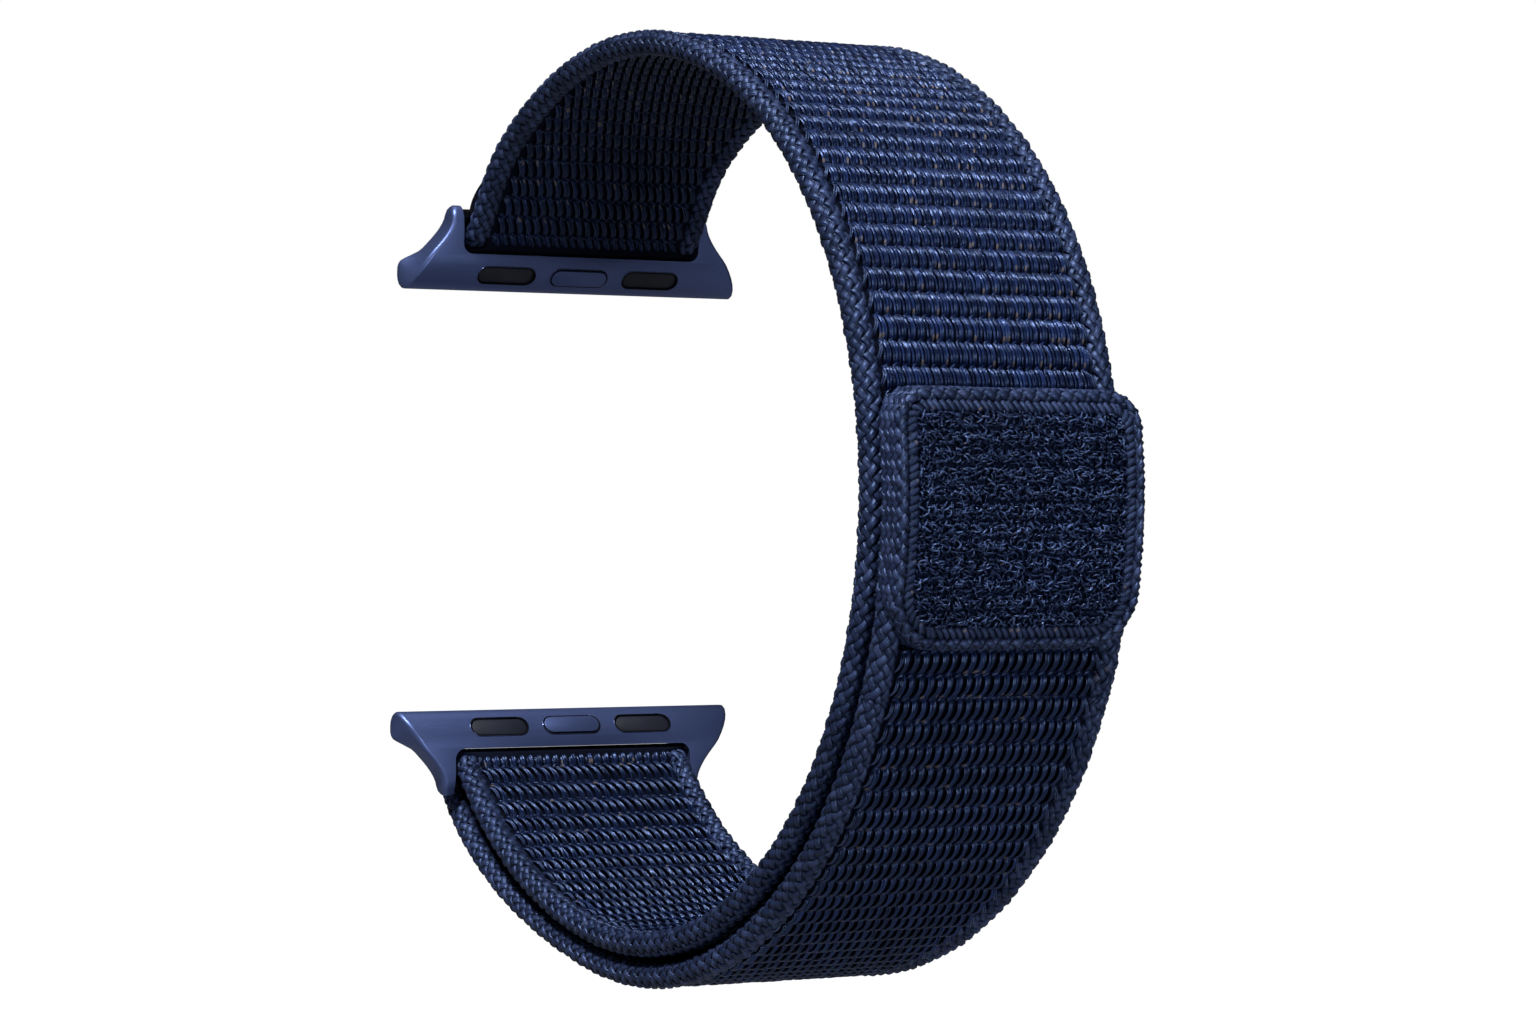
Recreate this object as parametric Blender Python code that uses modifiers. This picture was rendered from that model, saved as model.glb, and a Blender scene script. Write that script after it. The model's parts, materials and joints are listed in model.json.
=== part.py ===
"""Hook and loop watch strap: a ribbed woven band with braided edge cords, two case lugs and a fastening tab.

The band makes one loop. It starts on the bar of the upper lug, runs over the top and down the right
side, passes inside the tab to the lower lug, folds round that lug's bar and comes back outside itself
to the tab. The loop lies in the XZ plane and the band's width is along Y. Lengths are in metres.
"""

import math

import bmesh
import bpy
from mathutils import Matrix, Vector

MM = 0.001

# The loop that the band's middle surface follows, and the band across it
LOOP_HALF_DEPTH = 33.2 * MM
LOOP_HALF_HEIGHT = 31.75 * MM
BAND_WIDTH = 20.0 * MM
WEB_THICKNESS = 1.7 * MM
RIB_PITCH = 1.77 * MM
RIB_HEIGHT = 0.18 * MM
CORD_DIAMETER = 1.9 * MM
CORD_SEAM = 0.25 * MM
CORD_POINT_SPACING = 4.0 * MM
FABRIC_GAP = 0.3 * MM
LAYER_GAP = 0.35 * MM
END_PLY = 1.8 * MM
END_SPREAD = 0.6 * MM
UPPER_NECK_LENGTH = 8.0 * MM
LOWER_NECK_LENGTH = 22.0 * MM
TAIL_NARROWING = 0.45 * MM
TAIL_TAPER_LENGTH = 18.0 * MM

# Where each stretch of the band begins and ends on the loop
UPPER_BAR_ANGLE = math.radians(140.9)
LOWER_BAR_ANGLE = math.radians(-137.7)
FLEX_START_ANGLE = math.radians(76.0)
FLEX_END_ANGLE = math.radians(50.0)
TAB_CENTRE_ANGLE = math.radians(-1.2)

# The fastening tab, sewn over the outer end of the band
TAB_LENGTH = 17.0 * MM
TAB_FREE_CORNER_RADIUS = 2.4 * MM
TAB_SEWN_CORNER_RADIUS = 3.8 * MM
TAB_FLEX_LENGTH = 3.0 * MM
BINDING_WIDTH = 1.35 * MM
BINDING_ROUND = 0.4 * MM
BINDING_CROWN = 0.15 * MM
BINDING_SIDE = 2.5 * MM
COVER_THICKNESS = 0.8 * MM
COVER_ROW_PITCH = 1.1 * MM
COVER_ROW_HEIGHT = 0.12 * MM
HOOK_PAD_THICKNESS = 0.5 * MM
TAB_WEB_THICKNESS = 1.3 * MM
STACK_GAP = 0.1 * MM
TAB_LIFT = 0.35 * MM

# The bars that the band is looped on
BAR_DIAMETER = 1.1 * MM
BAR_GAP = 0.15 * MM
BAR_SEAT_DEPTH = 0.5 * MM
BAR_SEAT_GAP = 0.08 * MM
BAR_END_GAP = 0.1 * MM

# The lugs. A lug's own X points into the loop, its Z from the case edge to the band, and its bar is at 0
LUG_CURVED_HEIGHT = 2.8 * MM
LUG_CURVE_RADIUS = 2.3 * MM
LUG_INNER_DEPTH = 1.2 * MM
LUG_OUTER_DEPTH = 1.3 * MM
LUG_CORNER_RADIUS = 0.35 * MM
LUG_FLARE = 3.25 * MM
LUG_FLARE_LOW = 0.2 * MM
LUG_FLARE_HIGH = 5.6 * MM
LUG_TILT = math.radians(5.0)
HORN_THICKNESS = 0.9 * MM
HORN_TIP = 0.8 * MM
SLOT_SIDE_GAP = 0.15 * MM
SLOT_EDGE_GAP = 0.15 * MM
SLOT_CORNER_RADIUS = 0.8 * MM

# Shares of the lug's height, and of its inner and outer depth there, from the case edge to the horn tips
LUG_PROFILE_SHARES = (
    (0.000, 0.40, 0.40),
    (0.012, 0.62, 0.60),
    (0.035, 0.80, 0.78),
    (0.070, 0.93, 0.90),
    (0.120, 1.00, 0.98),
    (0.180, 1.00, 1.00),
    (0.240, 1.00, 1.00),
    (0.300, 1.00, 1.00),
    (0.360, 1.00, 1.00),
    (0.420, 1.00, 0.98),
    (0.470, 1.00, 0.95),
    (0.530, 1.00, 0.92),
    (0.590, 0.99, 0.88),
    (0.650, 0.98, 0.84),
    (0.710, 0.96, 0.79),
    (0.770, 0.92, 0.74),
    (0.825, 0.87, 0.68),
    (0.880, 0.80, 0.62),
    (0.940, 0.64, 0.50),
    (0.980, 0.42, 0.34),
    (1.000, 0.18, 0.14),
)
HORN_TIP_ROUND_SHARES = (0.0, 0.0, 0.06, 0.22, 0.40)

# Two pads and the lock button on each lug's inner face
PILL_LENGTH = 4.7 * MM
PILL_HEIGHT = 1.34 * MM
PILL_PITCH = 6.2 * MM
PILL_SLOT_DISTANCE = 1.14 * MM
PILL_GAP = 0.12 * MM
PAD_THICKNESS = 0.7 * MM
PAD_SINK = 0.12 * MM
PAD_ROUND = 0.12 * MM
BUTTON_STEM = 0.75 * MM
BUTTON_RISE = 0.08 * MM
BUTTON_FLANGE = 0.3 * MM
BUTTON_FLANGE_RIM = 0.3 * MM
BUTTON_TRAVEL = 0.6 * MM
SPRING_THICKNESS = 0.12 * MM
SPRING_WIDTH = 0.9 * MM
SPRING_LENGTH = 3.6 * MM
SPRING_GAP = 0.05 * MM

# One overrun for every cutter, and how finely curves are divided
OVERRUN = 2.0 * MM
RIB_POINTS = 4
EYE_POINTS = 14
FOLD_POINTS = 10
CORNER_POINTS = 5
LUG_END_PARTS = 4
PILL_END_POINTS = 8
BINDING_POINTS = 2
HEIGHT_STEPS = 6
SPRING_POINTS = 10
CORD_ROUND_POINTS = 2
ARC_SAMPLES = 360
CIRCLE_SIDES = 20
NUDGE = 1e-4
WELD_DISTANCE = 1e-7
SHARP_ANGLE = math.radians(40.0)

# Sizes that follow from the ones above
CORD_RADIUS = CORD_DIAMETER / 2
WEB_HALF = WEB_THICKNESS / 2
BAR_RADIUS = BAR_DIAMETER / 2
THICKER_HALF = max(CORD_RADIUS, WEB_HALF)
LAYER_STEP = 2 * THICKER_HALF + LAYER_GAP
FOLD_RADIUS = BAR_RADIUS + BAR_GAP + THICKER_HALF
EYE_RADIUS = BAR_RADIUS + BAR_GAP + END_PLY
WEB_HALF_WIDTH = BAND_WIDTH / 2 - CORD_DIAMETER - CORD_SEAM
CORD_Y = BAND_WIDTH / 2 - CORD_RADIUS
TAIL_HALF_WIDTH = BAND_WIDTH / 2 - TAIL_NARROWING
SLOT_HALF_WIDTH = BAND_WIDTH / 2 + SLOT_SIDE_GAP
SLOT_DEPTH = max(FOLD_RADIUS + THICKER_HALF, EYE_RADIUS) + SLOT_EDGE_GAP
LUG_HEIGHT = LUG_CURVED_HEIGHT + SLOT_DEPTH + HORN_TIP
HOOK_PAD_LOW = WEB_HALF + TAB_LIFT
TAB_WEB_LOW = HOOK_PAD_LOW + HOOK_PAD_THICKNESS + STACK_GAP
COVER_LOW = TAB_WEB_LOW + TAB_WEB_THICKNESS + STACK_GAP
BINDING_LOW = CORD_RADIUS + TAB_LIFT
BINDING_HIGH = COVER_LOW + COVER_THICKNESS + BINDING_CROWN

# The turn that stands a flat outline, drawn in X and Y, up in the XZ plane
UPRIGHT = Matrix.Rotation(math.radians(90.0), 4, "X")
# The turn that lays an outline drawn in X and Y on a lug's inner face, with its depth along the lug's X
ON_LUG_FACE = Matrix(((0, 0, 1, 0), (1, 0, 0, 0), (0, 1, 0, 0), (0, 0, 0, 1)))
# The turn that stands an outline of a lug's Y and X on edge, with its depth along the lug's Z
ACROSS_LUG = Matrix(((0, 1, 0, 0), (1, 0, 0, 0), (0, 0, -1, 0), (0, 0, 0, 1)))


class Strap:
    """The collections, materials and empties that the pieces are put into."""

    def __init__(self):
        for leftover in list(bpy.data.objects):
            bpy.data.objects.remove(leftover, do_unlink=True)
        self.pieces = bpy.data.collections.new("watch_strap")
        self.cutters = bpy.data.collections.new("strap_cutters")
        for collection in (self.pieces, self.cutters):
            bpy.context.scene.collection.children.link(collection)
        self.cutters.hide_render = True
        self.centre = self.empty("strap_centre", None)
        self.navy_weave = surface("navy_weave", (0.030, 0.052, 0.130), 0.85, 0.0)
        self.navy_cord = surface("navy_cord", (0.050, 0.075, 0.165), 0.80, 0.0)
        self.navy_tab = surface("navy_tab", (0.018, 0.030, 0.085), 0.95, 0.0)
        self.navy_metal = surface("navy_metal", (0.055, 0.080, 0.190), 0.38, 0.85)
        self.black_rubber = surface("black_rubber", (0.012, 0.014, 0.024), 0.60, 0.0)
        self.steel = surface("steel", (0.55, 0.56, 0.58), 0.35, 1.0)
        self.hook_plastic = surface("hook_plastic", (0.015, 0.020, 0.050), 0.55, 0.0)

    def empty(self, name, parent):
        """An empty that carries pieces, such as the pivot of a lug."""
        made = bpy.data.objects.new(name, None)
        self.pieces.objects.link(made)
        made.parent = parent
        return made

    def hinge(self, name, at):
        """An empty on a hinge's axis, for pieces that are drawn in the strap's own frame."""
        made = self.empty(name, self.centre)
        made.matrix_basis = Matrix.Translation((at.x, 0.0, at.y))
        return made

    def add(self, made, material, parent, drawn_in_parent=True):
        """Puts a piece in the strap with its material."""
        self.pieces.objects.link(made)
        made.data.materials.append(material)
        made.parent = parent
        if not drawn_in_parent:
            made.matrix_parent_inverse = parent.matrix_basis.inverted()
        return made

    def add_cutter(self, made, parent, drawn_in_parent=True):
        """Puts a cutter where it cuts but isn't part of the strap."""
        self.cutters.objects.link(made)
        made.parent = parent
        if not drawn_in_parent:
            made.matrix_parent_inverse = parent.matrix_basis.inverted()
        made.hide_render = True
        made.display_type = "WIRE"
        return made


def surface(name, colour, roughness, metallic):
    """A material with one Principled shader."""
    made = bpy.data.materials.new(name)
    made.use_nodes = True
    shader = made.node_tree.nodes["Principled BSDF"]
    shader.inputs["Base Color"].default_value = (*colour, 1.0)
    shader.inputs["Roughness"].default_value = roughness
    shader.inputs["Metallic"].default_value = metallic
    return made


def loop_normal(angle):
    """The direction out of the loop at an angle, in X and Z."""
    return Vector((LOOP_HALF_HEIGHT * math.cos(angle), LOOP_HALF_DEPTH * math.sin(angle))).normalized()


def loop_point(angle, offset=0.0):
    """The loop's point at an angle, moved out along its normal."""
    middle = Vector((LOOP_HALF_DEPTH * math.cos(angle), LOOP_HALF_HEIGHT * math.sin(angle)))
    return middle + loop_normal(angle) * offset


def loop_speed(angle, offset):
    """Metres of path for each radian of angle."""
    ahead = loop_point(angle + NUDGE, offset)
    return (ahead - loop_point(angle - NUDGE, offset)).length / (2 * NUDGE)


def angle_after(start, distance, offset):
    """The angle that lies a distance along the path from start, counted anticlockwise."""
    angle = start
    for _ in range(ARC_SAMPLES):
        angle += distance / ARC_SAMPLES / loop_speed(angle, offset)
    return angle


def path_length(start, end, offset):
    """The length of path between two angles."""
    step = (end - start) / ARC_SAMPLES
    return sum(abs(step) * loop_speed(start + step * (i + 0.5), offset) for i in range(ARC_SAMPLES))


def even_angles(start, end, offset, count):
    """Angles from start to end that cut the path between them into equal lengths."""
    step = (end - start) / ARC_SAMPLES
    reached = [0.0]
    for i in range(ARC_SAMPLES):
        reached.append(reached[-1] + loop_speed(start + step * (i + 0.5), offset))
    found, i = [], 0
    for n in range(count + 1):
        wanted = reached[-1] * n / count
        while i < ARC_SAMPLES - 1 and reached[i + 1] < wanted:
            i += 1
        found.append(start + step * (i + (wanted - reached[i]) / (reached[i + 1] - reached[i])))
    return found


def smooth(share):
    """A soft step from 0 to 1."""
    share = min(1.0, max(0.0, share))
    return share * share * (3 - 2 * share)


def near_bar(angle, bar_angle, neck_length):
    """1 at a bar, falling softly to 0 at a neck's length from it along the loop."""
    return smooth(1 - abs(path_length(bar_angle, angle, 0.0)) / neck_length)


def inner_offset(angle):
    """Where the middle of the upper end, the right side and the inner layer runs: the ends spread."""
    if angle > 0:
        return END_SPREAD * near_bar(angle, UPPER_BAR_ANGLE, UPPER_NECK_LENGTH)
    return END_SPREAD * near_bar(angle, LOWER_BAR_ANGLE, LOWER_NECK_LENGTH)


def outer_offset(angle):
    """Where the outer layer's middle runs: away from the fold it lies close on the inner layer."""
    from_fold = near_bar(angle, LOWER_BAR_ANGLE, LOWER_NECK_LENGTH)
    return LAYER_STEP + (END_SPREAD + 2 * FOLD_RADIUS - LAYER_STEP) * from_fold


def swollen_half(angle):
    """Half the upper band's thickness, which swells to the eye round the upper bar."""
    return WEB_HALF + (EYE_RADIUS - WEB_HALF) * near_bar(angle, UPPER_BAR_ANGLE, UPPER_NECK_LENGTH)


def plain_half(_angle):
    """Half the band's thickness over its ribs."""
    return WEB_HALF


def rib_stations(start, end, offset_of, half_of, pitch=RIB_PITCH, rib=RIB_HEIGHT):
    """Points along a ribbed stretch, each with its normal and its half thickness."""
    length = path_length(start, end, offset_of(start))
    ribs = max(1, round(length / pitch))
    angles = even_angles(start, end, offset_of(start), ribs * RIB_POINTS)
    stations = []
    for n, angle in enumerate(angles):
        wave = math.sin(math.pi * (n % RIB_POINTS) / RIB_POINTS)
        half = half_of(angle) - rib * (1 - wave)
        stations.append((loop_point(angle, offset_of(angle)), loop_normal(angle), half))
    return stations


def strip_outline(stations):
    """The closed side outline of a strip: its outer edge, then back along its inner edge."""
    outer = [point + normal * half for point, normal, half in stations]
    inner = [point - normal * half for point, normal, half in stations]
    return outer + inner[::-1]


def arc_round(centre, first, turn, radius, count):
    """Points on an arc round a centre. It starts along first and turns by turn."""
    made = []
    for n in range(count + 1):
        swing = Matrix.Rotation(turn * n / count, 2)
        made.append(centre + (swing @ first) * radius)
    return made


def rounded_box(half_width, low, high, low_radius, high_radius=None, points=CORNER_POINTS):
    """A box outline with round corners, in X and Y. Its high corners may have their own radius."""
    high_radius = high_radius or low_radius
    made = []
    corners = ((1, high, high_radius), (-1, high, high_radius), (-1, low, low_radius), (1, low, low_radius))
    for quarter, (side, level, radius) in enumerate(corners):
        inwards = radius if level == low else -radius
        centre = Vector((side * (half_width - radius), level + inwards))
        start = Matrix.Rotation(math.pi / 2 * quarter, 2) @ Vector((1.0, 0.0))
        made += arc_round(centre, start, math.pi / 2, radius, points)
    return made


def divided(outline, longest):
    """The same closed outline with points added, so that no side of it is longer than longest."""
    made = []
    for n, at in enumerate(outline):
        after = outline[(n + 1) % len(outline)]
        parts = max(1, math.ceil((after - at).length / longest - NUDGE))
        made += [at.lerp(after, part / parts) for part in range(parts)]
    return made


def pill(length, height):
    """A pill outline: a bar with half-round ends, in X and Y."""
    end = Vector(((length - height) / 2, 0.0))
    made = arc_round(end, Vector((0.0, -1.0)), math.pi, height / 2, PILL_END_POINTS)
    return made + arc_round(-end, Vector((0.0, 1.0)), math.pi, height / 2, PILL_END_POINTS)


def flat_curve(name, outlines, half_depth):
    """A flat outline, with any holes, given a thickness both ways."""
    data = bpy.data.curves.new(name, "CURVE")
    data.dimensions = "2D"
    data.fill_mode = "BOTH"
    data.extrude = half_depth
    for outline in outlines:
        spline = data.splines.new("POLY")
        spline.points.add(len(outline) - 1)
        for point, at in zip(spline.points, outline):
            point.co = (at.x, at.y, 0.0, 1.0)
        spline.use_cyclic_u = True
    return bpy.data.objects.new(name, data)


def mesh_of(made):
    """The same shape as a welded mesh, which takes modifiers and can cut."""
    name = made.name
    bpy.context.scene.collection.objects.link(made)
    bpy.context.view_layer.update()
    evaluated = made.evaluated_get(bpy.context.evaluated_depsgraph_get())
    data = bpy.data.meshes.new_from_object(evaluated)
    bpy.data.objects.remove(made, do_unlink=True)
    shape = bmesh.new()
    shape.from_mesh(data)
    bmesh.ops.remove_doubles(shape, verts=shape.verts, dist=WELD_DISTANCE)
    bmesh.ops.recalc_face_normals(shape, faces=shape.faces)
    shape.to_mesh(data)
    shape.free()
    return bpy.data.objects.new(name, data)


def prism(name, outlines, low, high, turn):
    """A mesh prism of an outline from low to high, turned into place."""
    made = mesh_of(flat_curve(name, outlines, (high - low) / 2))
    made.data.transform(turn @ Matrix.Translation((0.0, 0.0, (low + high) / 2)))
    return made


def side_prism(name, outlines, half_width):
    """A mesh strip of the band's side outline, as wide as the band's web or less."""
    return prism(name, outlines, -half_width, half_width, UPRIGHT)


def cylinder_across(name, radius, length):
    """A mesh cylinder along Y."""
    data = bpy.data.meshes.new(name)
    shape = bmesh.new()
    bmesh.ops.create_cone(
        shape,
        cap_ends=True,
        segments=CIRCLE_SIDES,
        radius1=radius,
        radius2=radius,
        depth=length,
        matrix=UPRIGHT,
    )
    shape.to_mesh(data)
    shape.free()
    return bpy.data.objects.new(name, data)


def boolean(made, operation, other):
    """Cuts, joins or trims a mesh with another."""
    modifier = made.modifiers.new(operation.lower(), "BOOLEAN")
    modifier.operation = operation
    modifier.object = other


def bevel(made, width, segments=2):
    """Rounds a mesh's sharp edges."""
    modifier = made.modifiers.new("rounded_edges", "BEVEL")
    modifier.width = width
    modifier.segments = segments
    modifier.limit_method = "ANGLE"
    modifier.angle_limit = SHARP_ANGLE


def web(strap, name, outlines, carrier, half_width=WEB_HALF_WIDTH):
    """A stretch of the band's ribbed web."""
    made = flat_curve(name, outlines, half_width)
    made.matrix_basis = UPRIGHT
    return strap.add(made, strap.navy_weave, carrier, drawn_in_parent=False)


def cord(strap, name, side, path, carrier):
    """A stretch of the braided cord on one edge of the band, through points of the loop and half widths."""
    data = bpy.data.curves.new(name, "CURVE")
    data.dimensions = "3D"
    data.bevel_depth = CORD_RADIUS
    data.bevel_resolution = CORD_ROUND_POINTS
    data.use_fill_caps = True
    spline = data.splines.new("POLY")
    spline.points.add(len(path) - 1)
    for point, (at, half_width) in zip(spline.points, path):
        point.co = (at.x, side * (half_width - CORD_RADIUS), at.y, 1.0)
    spline.use_smooth = True
    return strap.add(bpy.data.objects.new(name, data), strap.navy_cord, carrier, drawn_in_parent=False)


def full_width(_angle):
    """Half the band's width where it isn't narrowed."""
    return BAND_WIDTH / 2


def tail_width(angle):
    """Half the outer layer's width, which narrows from the fold to the tab."""
    along = path_length(LOWER_BAR_ANGLE, angle, LAYER_STEP) / TAIL_TAPER_LENGTH
    return BAND_WIDTH / 2 - TAIL_NARROWING * smooth(along)


def cord_path(start, end, offset_of, width_of=full_width):
    """The middle of a cord along a stretch of the band, with the band's half width there."""
    count = max(2, round(path_length(start, end, offset_of(start)) / CORD_POINT_SPACING))
    angles = even_angles(start, end, offset_of(start), count)
    return [(loop_point(angle, offset_of(angle)), width_of(angle)) for angle in angles]


def both_cords(strap, stretch, path, carrier):
    """The near and the far cord of a stretch."""
    cord(strap, stretch + "_cord_near", -1, path, carrier)
    cord(strap, stretch + "_cord_far", 1, path, carrier)


def upper_band(strap, hinge):
    """The band from its eye on the upper bar to where it bends when the loop is opened."""
    bar = upper_bar_point()
    out = loop_normal(UPPER_BAR_ANGLE)
    end = angle_after(FLEX_START_ANGLE, FABRIC_GAP / 2, 0.0)
    edges = strip_outline(rib_stations(end, UPPER_BAR_ANGLE, inner_offset, swollen_half))
    half = len(edges) // 2
    eye = arc_round(bar, out, math.pi, EYE_RADIUS, EYE_POINTS)
    bore = arc_round(bar, out, 2 * math.pi, BAR_RADIUS + BAR_GAP, EYE_POINTS)[:-1]
    web(strap, "upper_web", [edges[: half - 1] + eye + edges[half + 1 :], bore], hinge)

    def drawn_in(angle):
        return inner_offset(angle) - FOLD_RADIUS * near_bar(angle, UPPER_BAR_ANGLE, UPPER_NECK_LENGTH)

    run = cord_path(end, UPPER_BAR_ANGLE, drawn_in)
    hook = arc_round(bar, -out, -math.pi, FOLD_RADIUS, FOLD_POINTS)
    both_cords(strap, "upper", run[:-1] + [(at, BAND_WIDTH / 2) for at in hook], hinge)


def flex_band(strap):
    """The stretch over the top right of the loop that bends when the loop is opened."""
    start = angle_after(FLEX_START_ANGLE, -FABRIC_GAP / 2, 0.0)
    end = angle_after(FLEX_END_ANGLE, FABRIC_GAP / 2, 0.0)
    outline = strip_outline(rib_stations(end, start, inner_offset, plain_half))
    web(strap, "flex_web", [outline], strap.centre)
    both_cords(strap, "flex", cord_path(end, start, inner_offset), strap.centre)


def main_band(strap):
    """The right side and the inner layer, down to the fold on the lower bar."""
    start = angle_after(FLEX_END_ANGLE, -FABRIC_GAP / 2, 0.0)
    end = angle_after(LOWER_BAR_ANGLE, FABRIC_GAP / 2, 0.0)
    outline = strip_outline(rib_stations(end, start, inner_offset, plain_half))
    web(strap, "main_web", [outline], strap.centre)
    both_cords(strap, "main", cord_path(end, start, inner_offset), strap.centre)


def fold_band(strap):
    """The half turn round the lower bar, between the inner and the outer layer."""
    bar = lower_bar_point()
    margin = FABRIC_GAP / 2 / FOLD_RADIUS
    first = Matrix.Rotation(margin, 2) @ -loop_normal(LOWER_BAR_ANGLE)
    turn = math.pi - 2 * margin
    outside = arc_round(bar, first, turn, FOLD_RADIUS + WEB_HALF, FOLD_POINTS)
    inside = arc_round(bar, first, turn, FOLD_RADIUS - WEB_HALF, FOLD_POINTS)
    web(strap, "fold_web", [outside + inside[::-1]], strap.centre)
    middle = arc_round(bar, first, turn, FOLD_RADIUS, FOLD_POINTS)
    both_cords(strap, "fold", [(at, BAND_WIDTH / 2) for at in middle], strap.centre)


def tail_band(strap, hinge):
    """The outer layer from the fold to the bend below the tab, and the bend that lets the tab peel."""
    start = angle_after(LOWER_BAR_ANGLE, FABRIC_GAP / 2, LAYER_STEP)
    edge = tab_edge_angle()
    bend = angle_after(edge, -(TAB_FLEX_LENGTH + FABRIC_GAP), LAYER_STEP)
    stretches = (
        ("tail", start, angle_after(bend, -FABRIC_GAP, LAYER_STEP)),
        ("tab_flex", bend, angle_after(edge, -FABRIC_GAP, LAYER_STEP)),
    )
    for stretch, first, last in stretches:
        outline = strip_outline(rib_stations(first, last, outer_offset, plain_half))
        web(strap, stretch + "_web", [outline], hinge, WEB_HALF_WIDTH - TAIL_NARROWING)
        both_cords(strap, stretch, cord_path(first, last, outer_offset, tail_width), hinge)


def upper_bar_point():
    """The axis of the upper bar, in X and Z, in the middle of the band's eye."""
    return loop_point(UPPER_BAR_ANGLE, END_SPREAD)


def lower_bar_point():
    """The axis of the lower bar, in X and Z. The inner layer runs straight on to the fold round it."""
    return loop_point(LOWER_BAR_ANGLE, END_SPREAD + FOLD_RADIUS)


def tab_hinge_point():
    """The middle of the bend below the tab, in X and Z."""
    middle = angle_after(tab_edge_angle(), -(FABRIC_GAP + TAB_FLEX_LENGTH / 2), LAYER_STEP)
    return loop_point(middle, LAYER_STEP)


def flex_hinge_point():
    """The middle of the bend over the top right of the loop, in X and Z."""
    return loop_point((FLEX_START_ANGLE + FLEX_END_ANGLE) / 2)


def tab_edge_angle(up=-1, inset=0.0):
    """The angle of the tab's lower edge, or of its upper one if up is 1, taken in by inset."""
    return angle_after(TAB_CENTRE_ANGLE, up * (TAB_LENGTH / 2 - inset), LAYER_STEP)


def tab_frame():
    """Turns an outline of the tab's face, in X and Y, to stand on the loop at the tab's middle."""
    out = loop_normal(TAB_CENTRE_ANGLE)
    at = loop_point(TAB_CENTRE_ANGLE)
    turn = Matrix(((0, -out.y, out.x), (1, 0, 0), (0, out.x, out.y))).to_4x4()
    return Matrix.Translation((at.x, 0.0, at.y)) @ turn


def tab_slab(name, low, high, half_width, start, end, pitch=RIB_PITCH, rib=0.0):
    """A curved slab that follows the loop between two offsets."""

    def middle(_angle):
        return (low + high) / 2

    def half(_angle):
        return (high - low) / 2

    return side_prism(name, [strip_outline(rib_stations(start, end, middle, half, pitch, rib))], half_width)


def tab_outline(inset):
    """The tab's face outline in X and Y, taken in all round by inset."""
    half_length = TAB_LENGTH / 2 - inset
    radii = (TAB_SEWN_CORNER_RADIUS - inset, TAB_FREE_CORNER_RADIUS - inset)
    return rounded_box(TAIL_HALF_WIDTH - inset, -half_length, half_length, *radii)


def tab_height(along, offset):
    """How high the loop's path at an offset lies over the tab's plane, at a distance from its middle."""
    out = loop_normal(TAB_CENTRE_ANGLE)
    up = Vector((-out.y, out.x))
    middle = loop_point(TAB_CENTRE_ANGLE)
    angle = TAB_CENTRE_ANGLE
    for _ in range(HEIGHT_STEPS):
        angle += (along - (loop_point(angle, offset) - middle).dot(up)) / loop_speed(angle, offset)
    return (loop_point(angle, offset) - middle).dot(out)


def tab_binding(strap, hinge, mouth):
    """The rounded binding swept round the tab's edge and bent to the loop, with a mouth for the band."""
    profile = rounded_box(BINDING_WIDTH / 2, BINDING_LOW, BINDING_HIGH, BINDING_ROUND, points=BINDING_POINTS)
    rings = []
    for at in profile:
        around = divided(tab_outline(BINDING_WIDTH / 2 - at.x), BINDING_SIDE)
        rings.append([Vector((spot.x, spot.y, tab_height(spot.y, at.y))) for spot in around])
    binding = loft("tab_binding", rings, closed=True)
    binding.data.transform(tab_frame())
    strap.add(binding, strap.navy_cord, hinge, drawn_in_parent=False)
    boolean(binding, "DIFFERENCE", strap.add_cutter(mouth, hinge, drawn_in_parent=False))


def tab(strap, hinge):
    """The tab: a looped cover, the band's end and the hook pad, held in a rounded binding."""
    low_angle = tab_edge_angle(-1, -OVERRUN)
    high_angle = tab_edge_angle(1, -OVERRUN)
    half_width = TAIL_HALF_WIDTH + OVERRUN
    end_half_width = WEB_HALF_WIDTH - TAIL_NARROWING
    mouth_half_width = end_half_width + STACK_GAP
    mouth = tab_slab("tab_mouth_cutter", 0.0, COVER_LOW, mouth_half_width, low_angle, TAB_CENTRE_ANGLE)
    tab_binding(strap, hinge, mouth)

    outline = tab_outline(BINDING_WIDTH + STACK_GAP)
    inside = prism("tab_inside_cutter", [outline], -OVERRUN, BINDING_HIGH + OVERRUN, tab_frame())
    strap.add_cutter(inside, hinge, drawn_in_parent=False)
    cover_high = COVER_LOW + COVER_THICKNESS
    rows = (COVER_ROW_PITCH, COVER_ROW_HEIGHT)
    cover = tab_slab("tab_cover", COVER_LOW, cover_high, half_width, low_angle, high_angle, *rows)
    strap.add(cover, strap.navy_tab, hinge, drawn_in_parent=False)
    boolean(cover, "INTERSECT", inside)

    hook_high = HOOK_PAD_LOW + HOOK_PAD_THICKNESS
    pad = tab_slab("hook_pad", HOOK_PAD_LOW, hook_high, half_width, low_angle, high_angle)
    strap.add(pad, strap.hook_plastic, hinge, drawn_in_parent=False)
    boolean(pad, "INTERSECT", inside)

    web_high = TAB_WEB_LOW + TAB_WEB_THICKNESS
    last = tab_edge_angle(1, BINDING_WIDTH + FABRIC_GAP)
    end = tab_slab("tab_web_end", TAB_WEB_LOW, web_high, end_half_width, tab_edge_angle(), last)
    strap.add(end, strap.navy_weave, hinge, drawn_in_parent=False)


def lug_half_length(height):
    """Half the lug's length at a height over its case edge: straight horns, and flared ends below them."""
    flare = smooth((LUG_FLARE_HIGH - height) / (LUG_FLARE_HIGH - LUG_FLARE_LOW))
    return SLOT_HALF_WIDTH + HORN_THICKNESS + LUG_FLARE * flare


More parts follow.
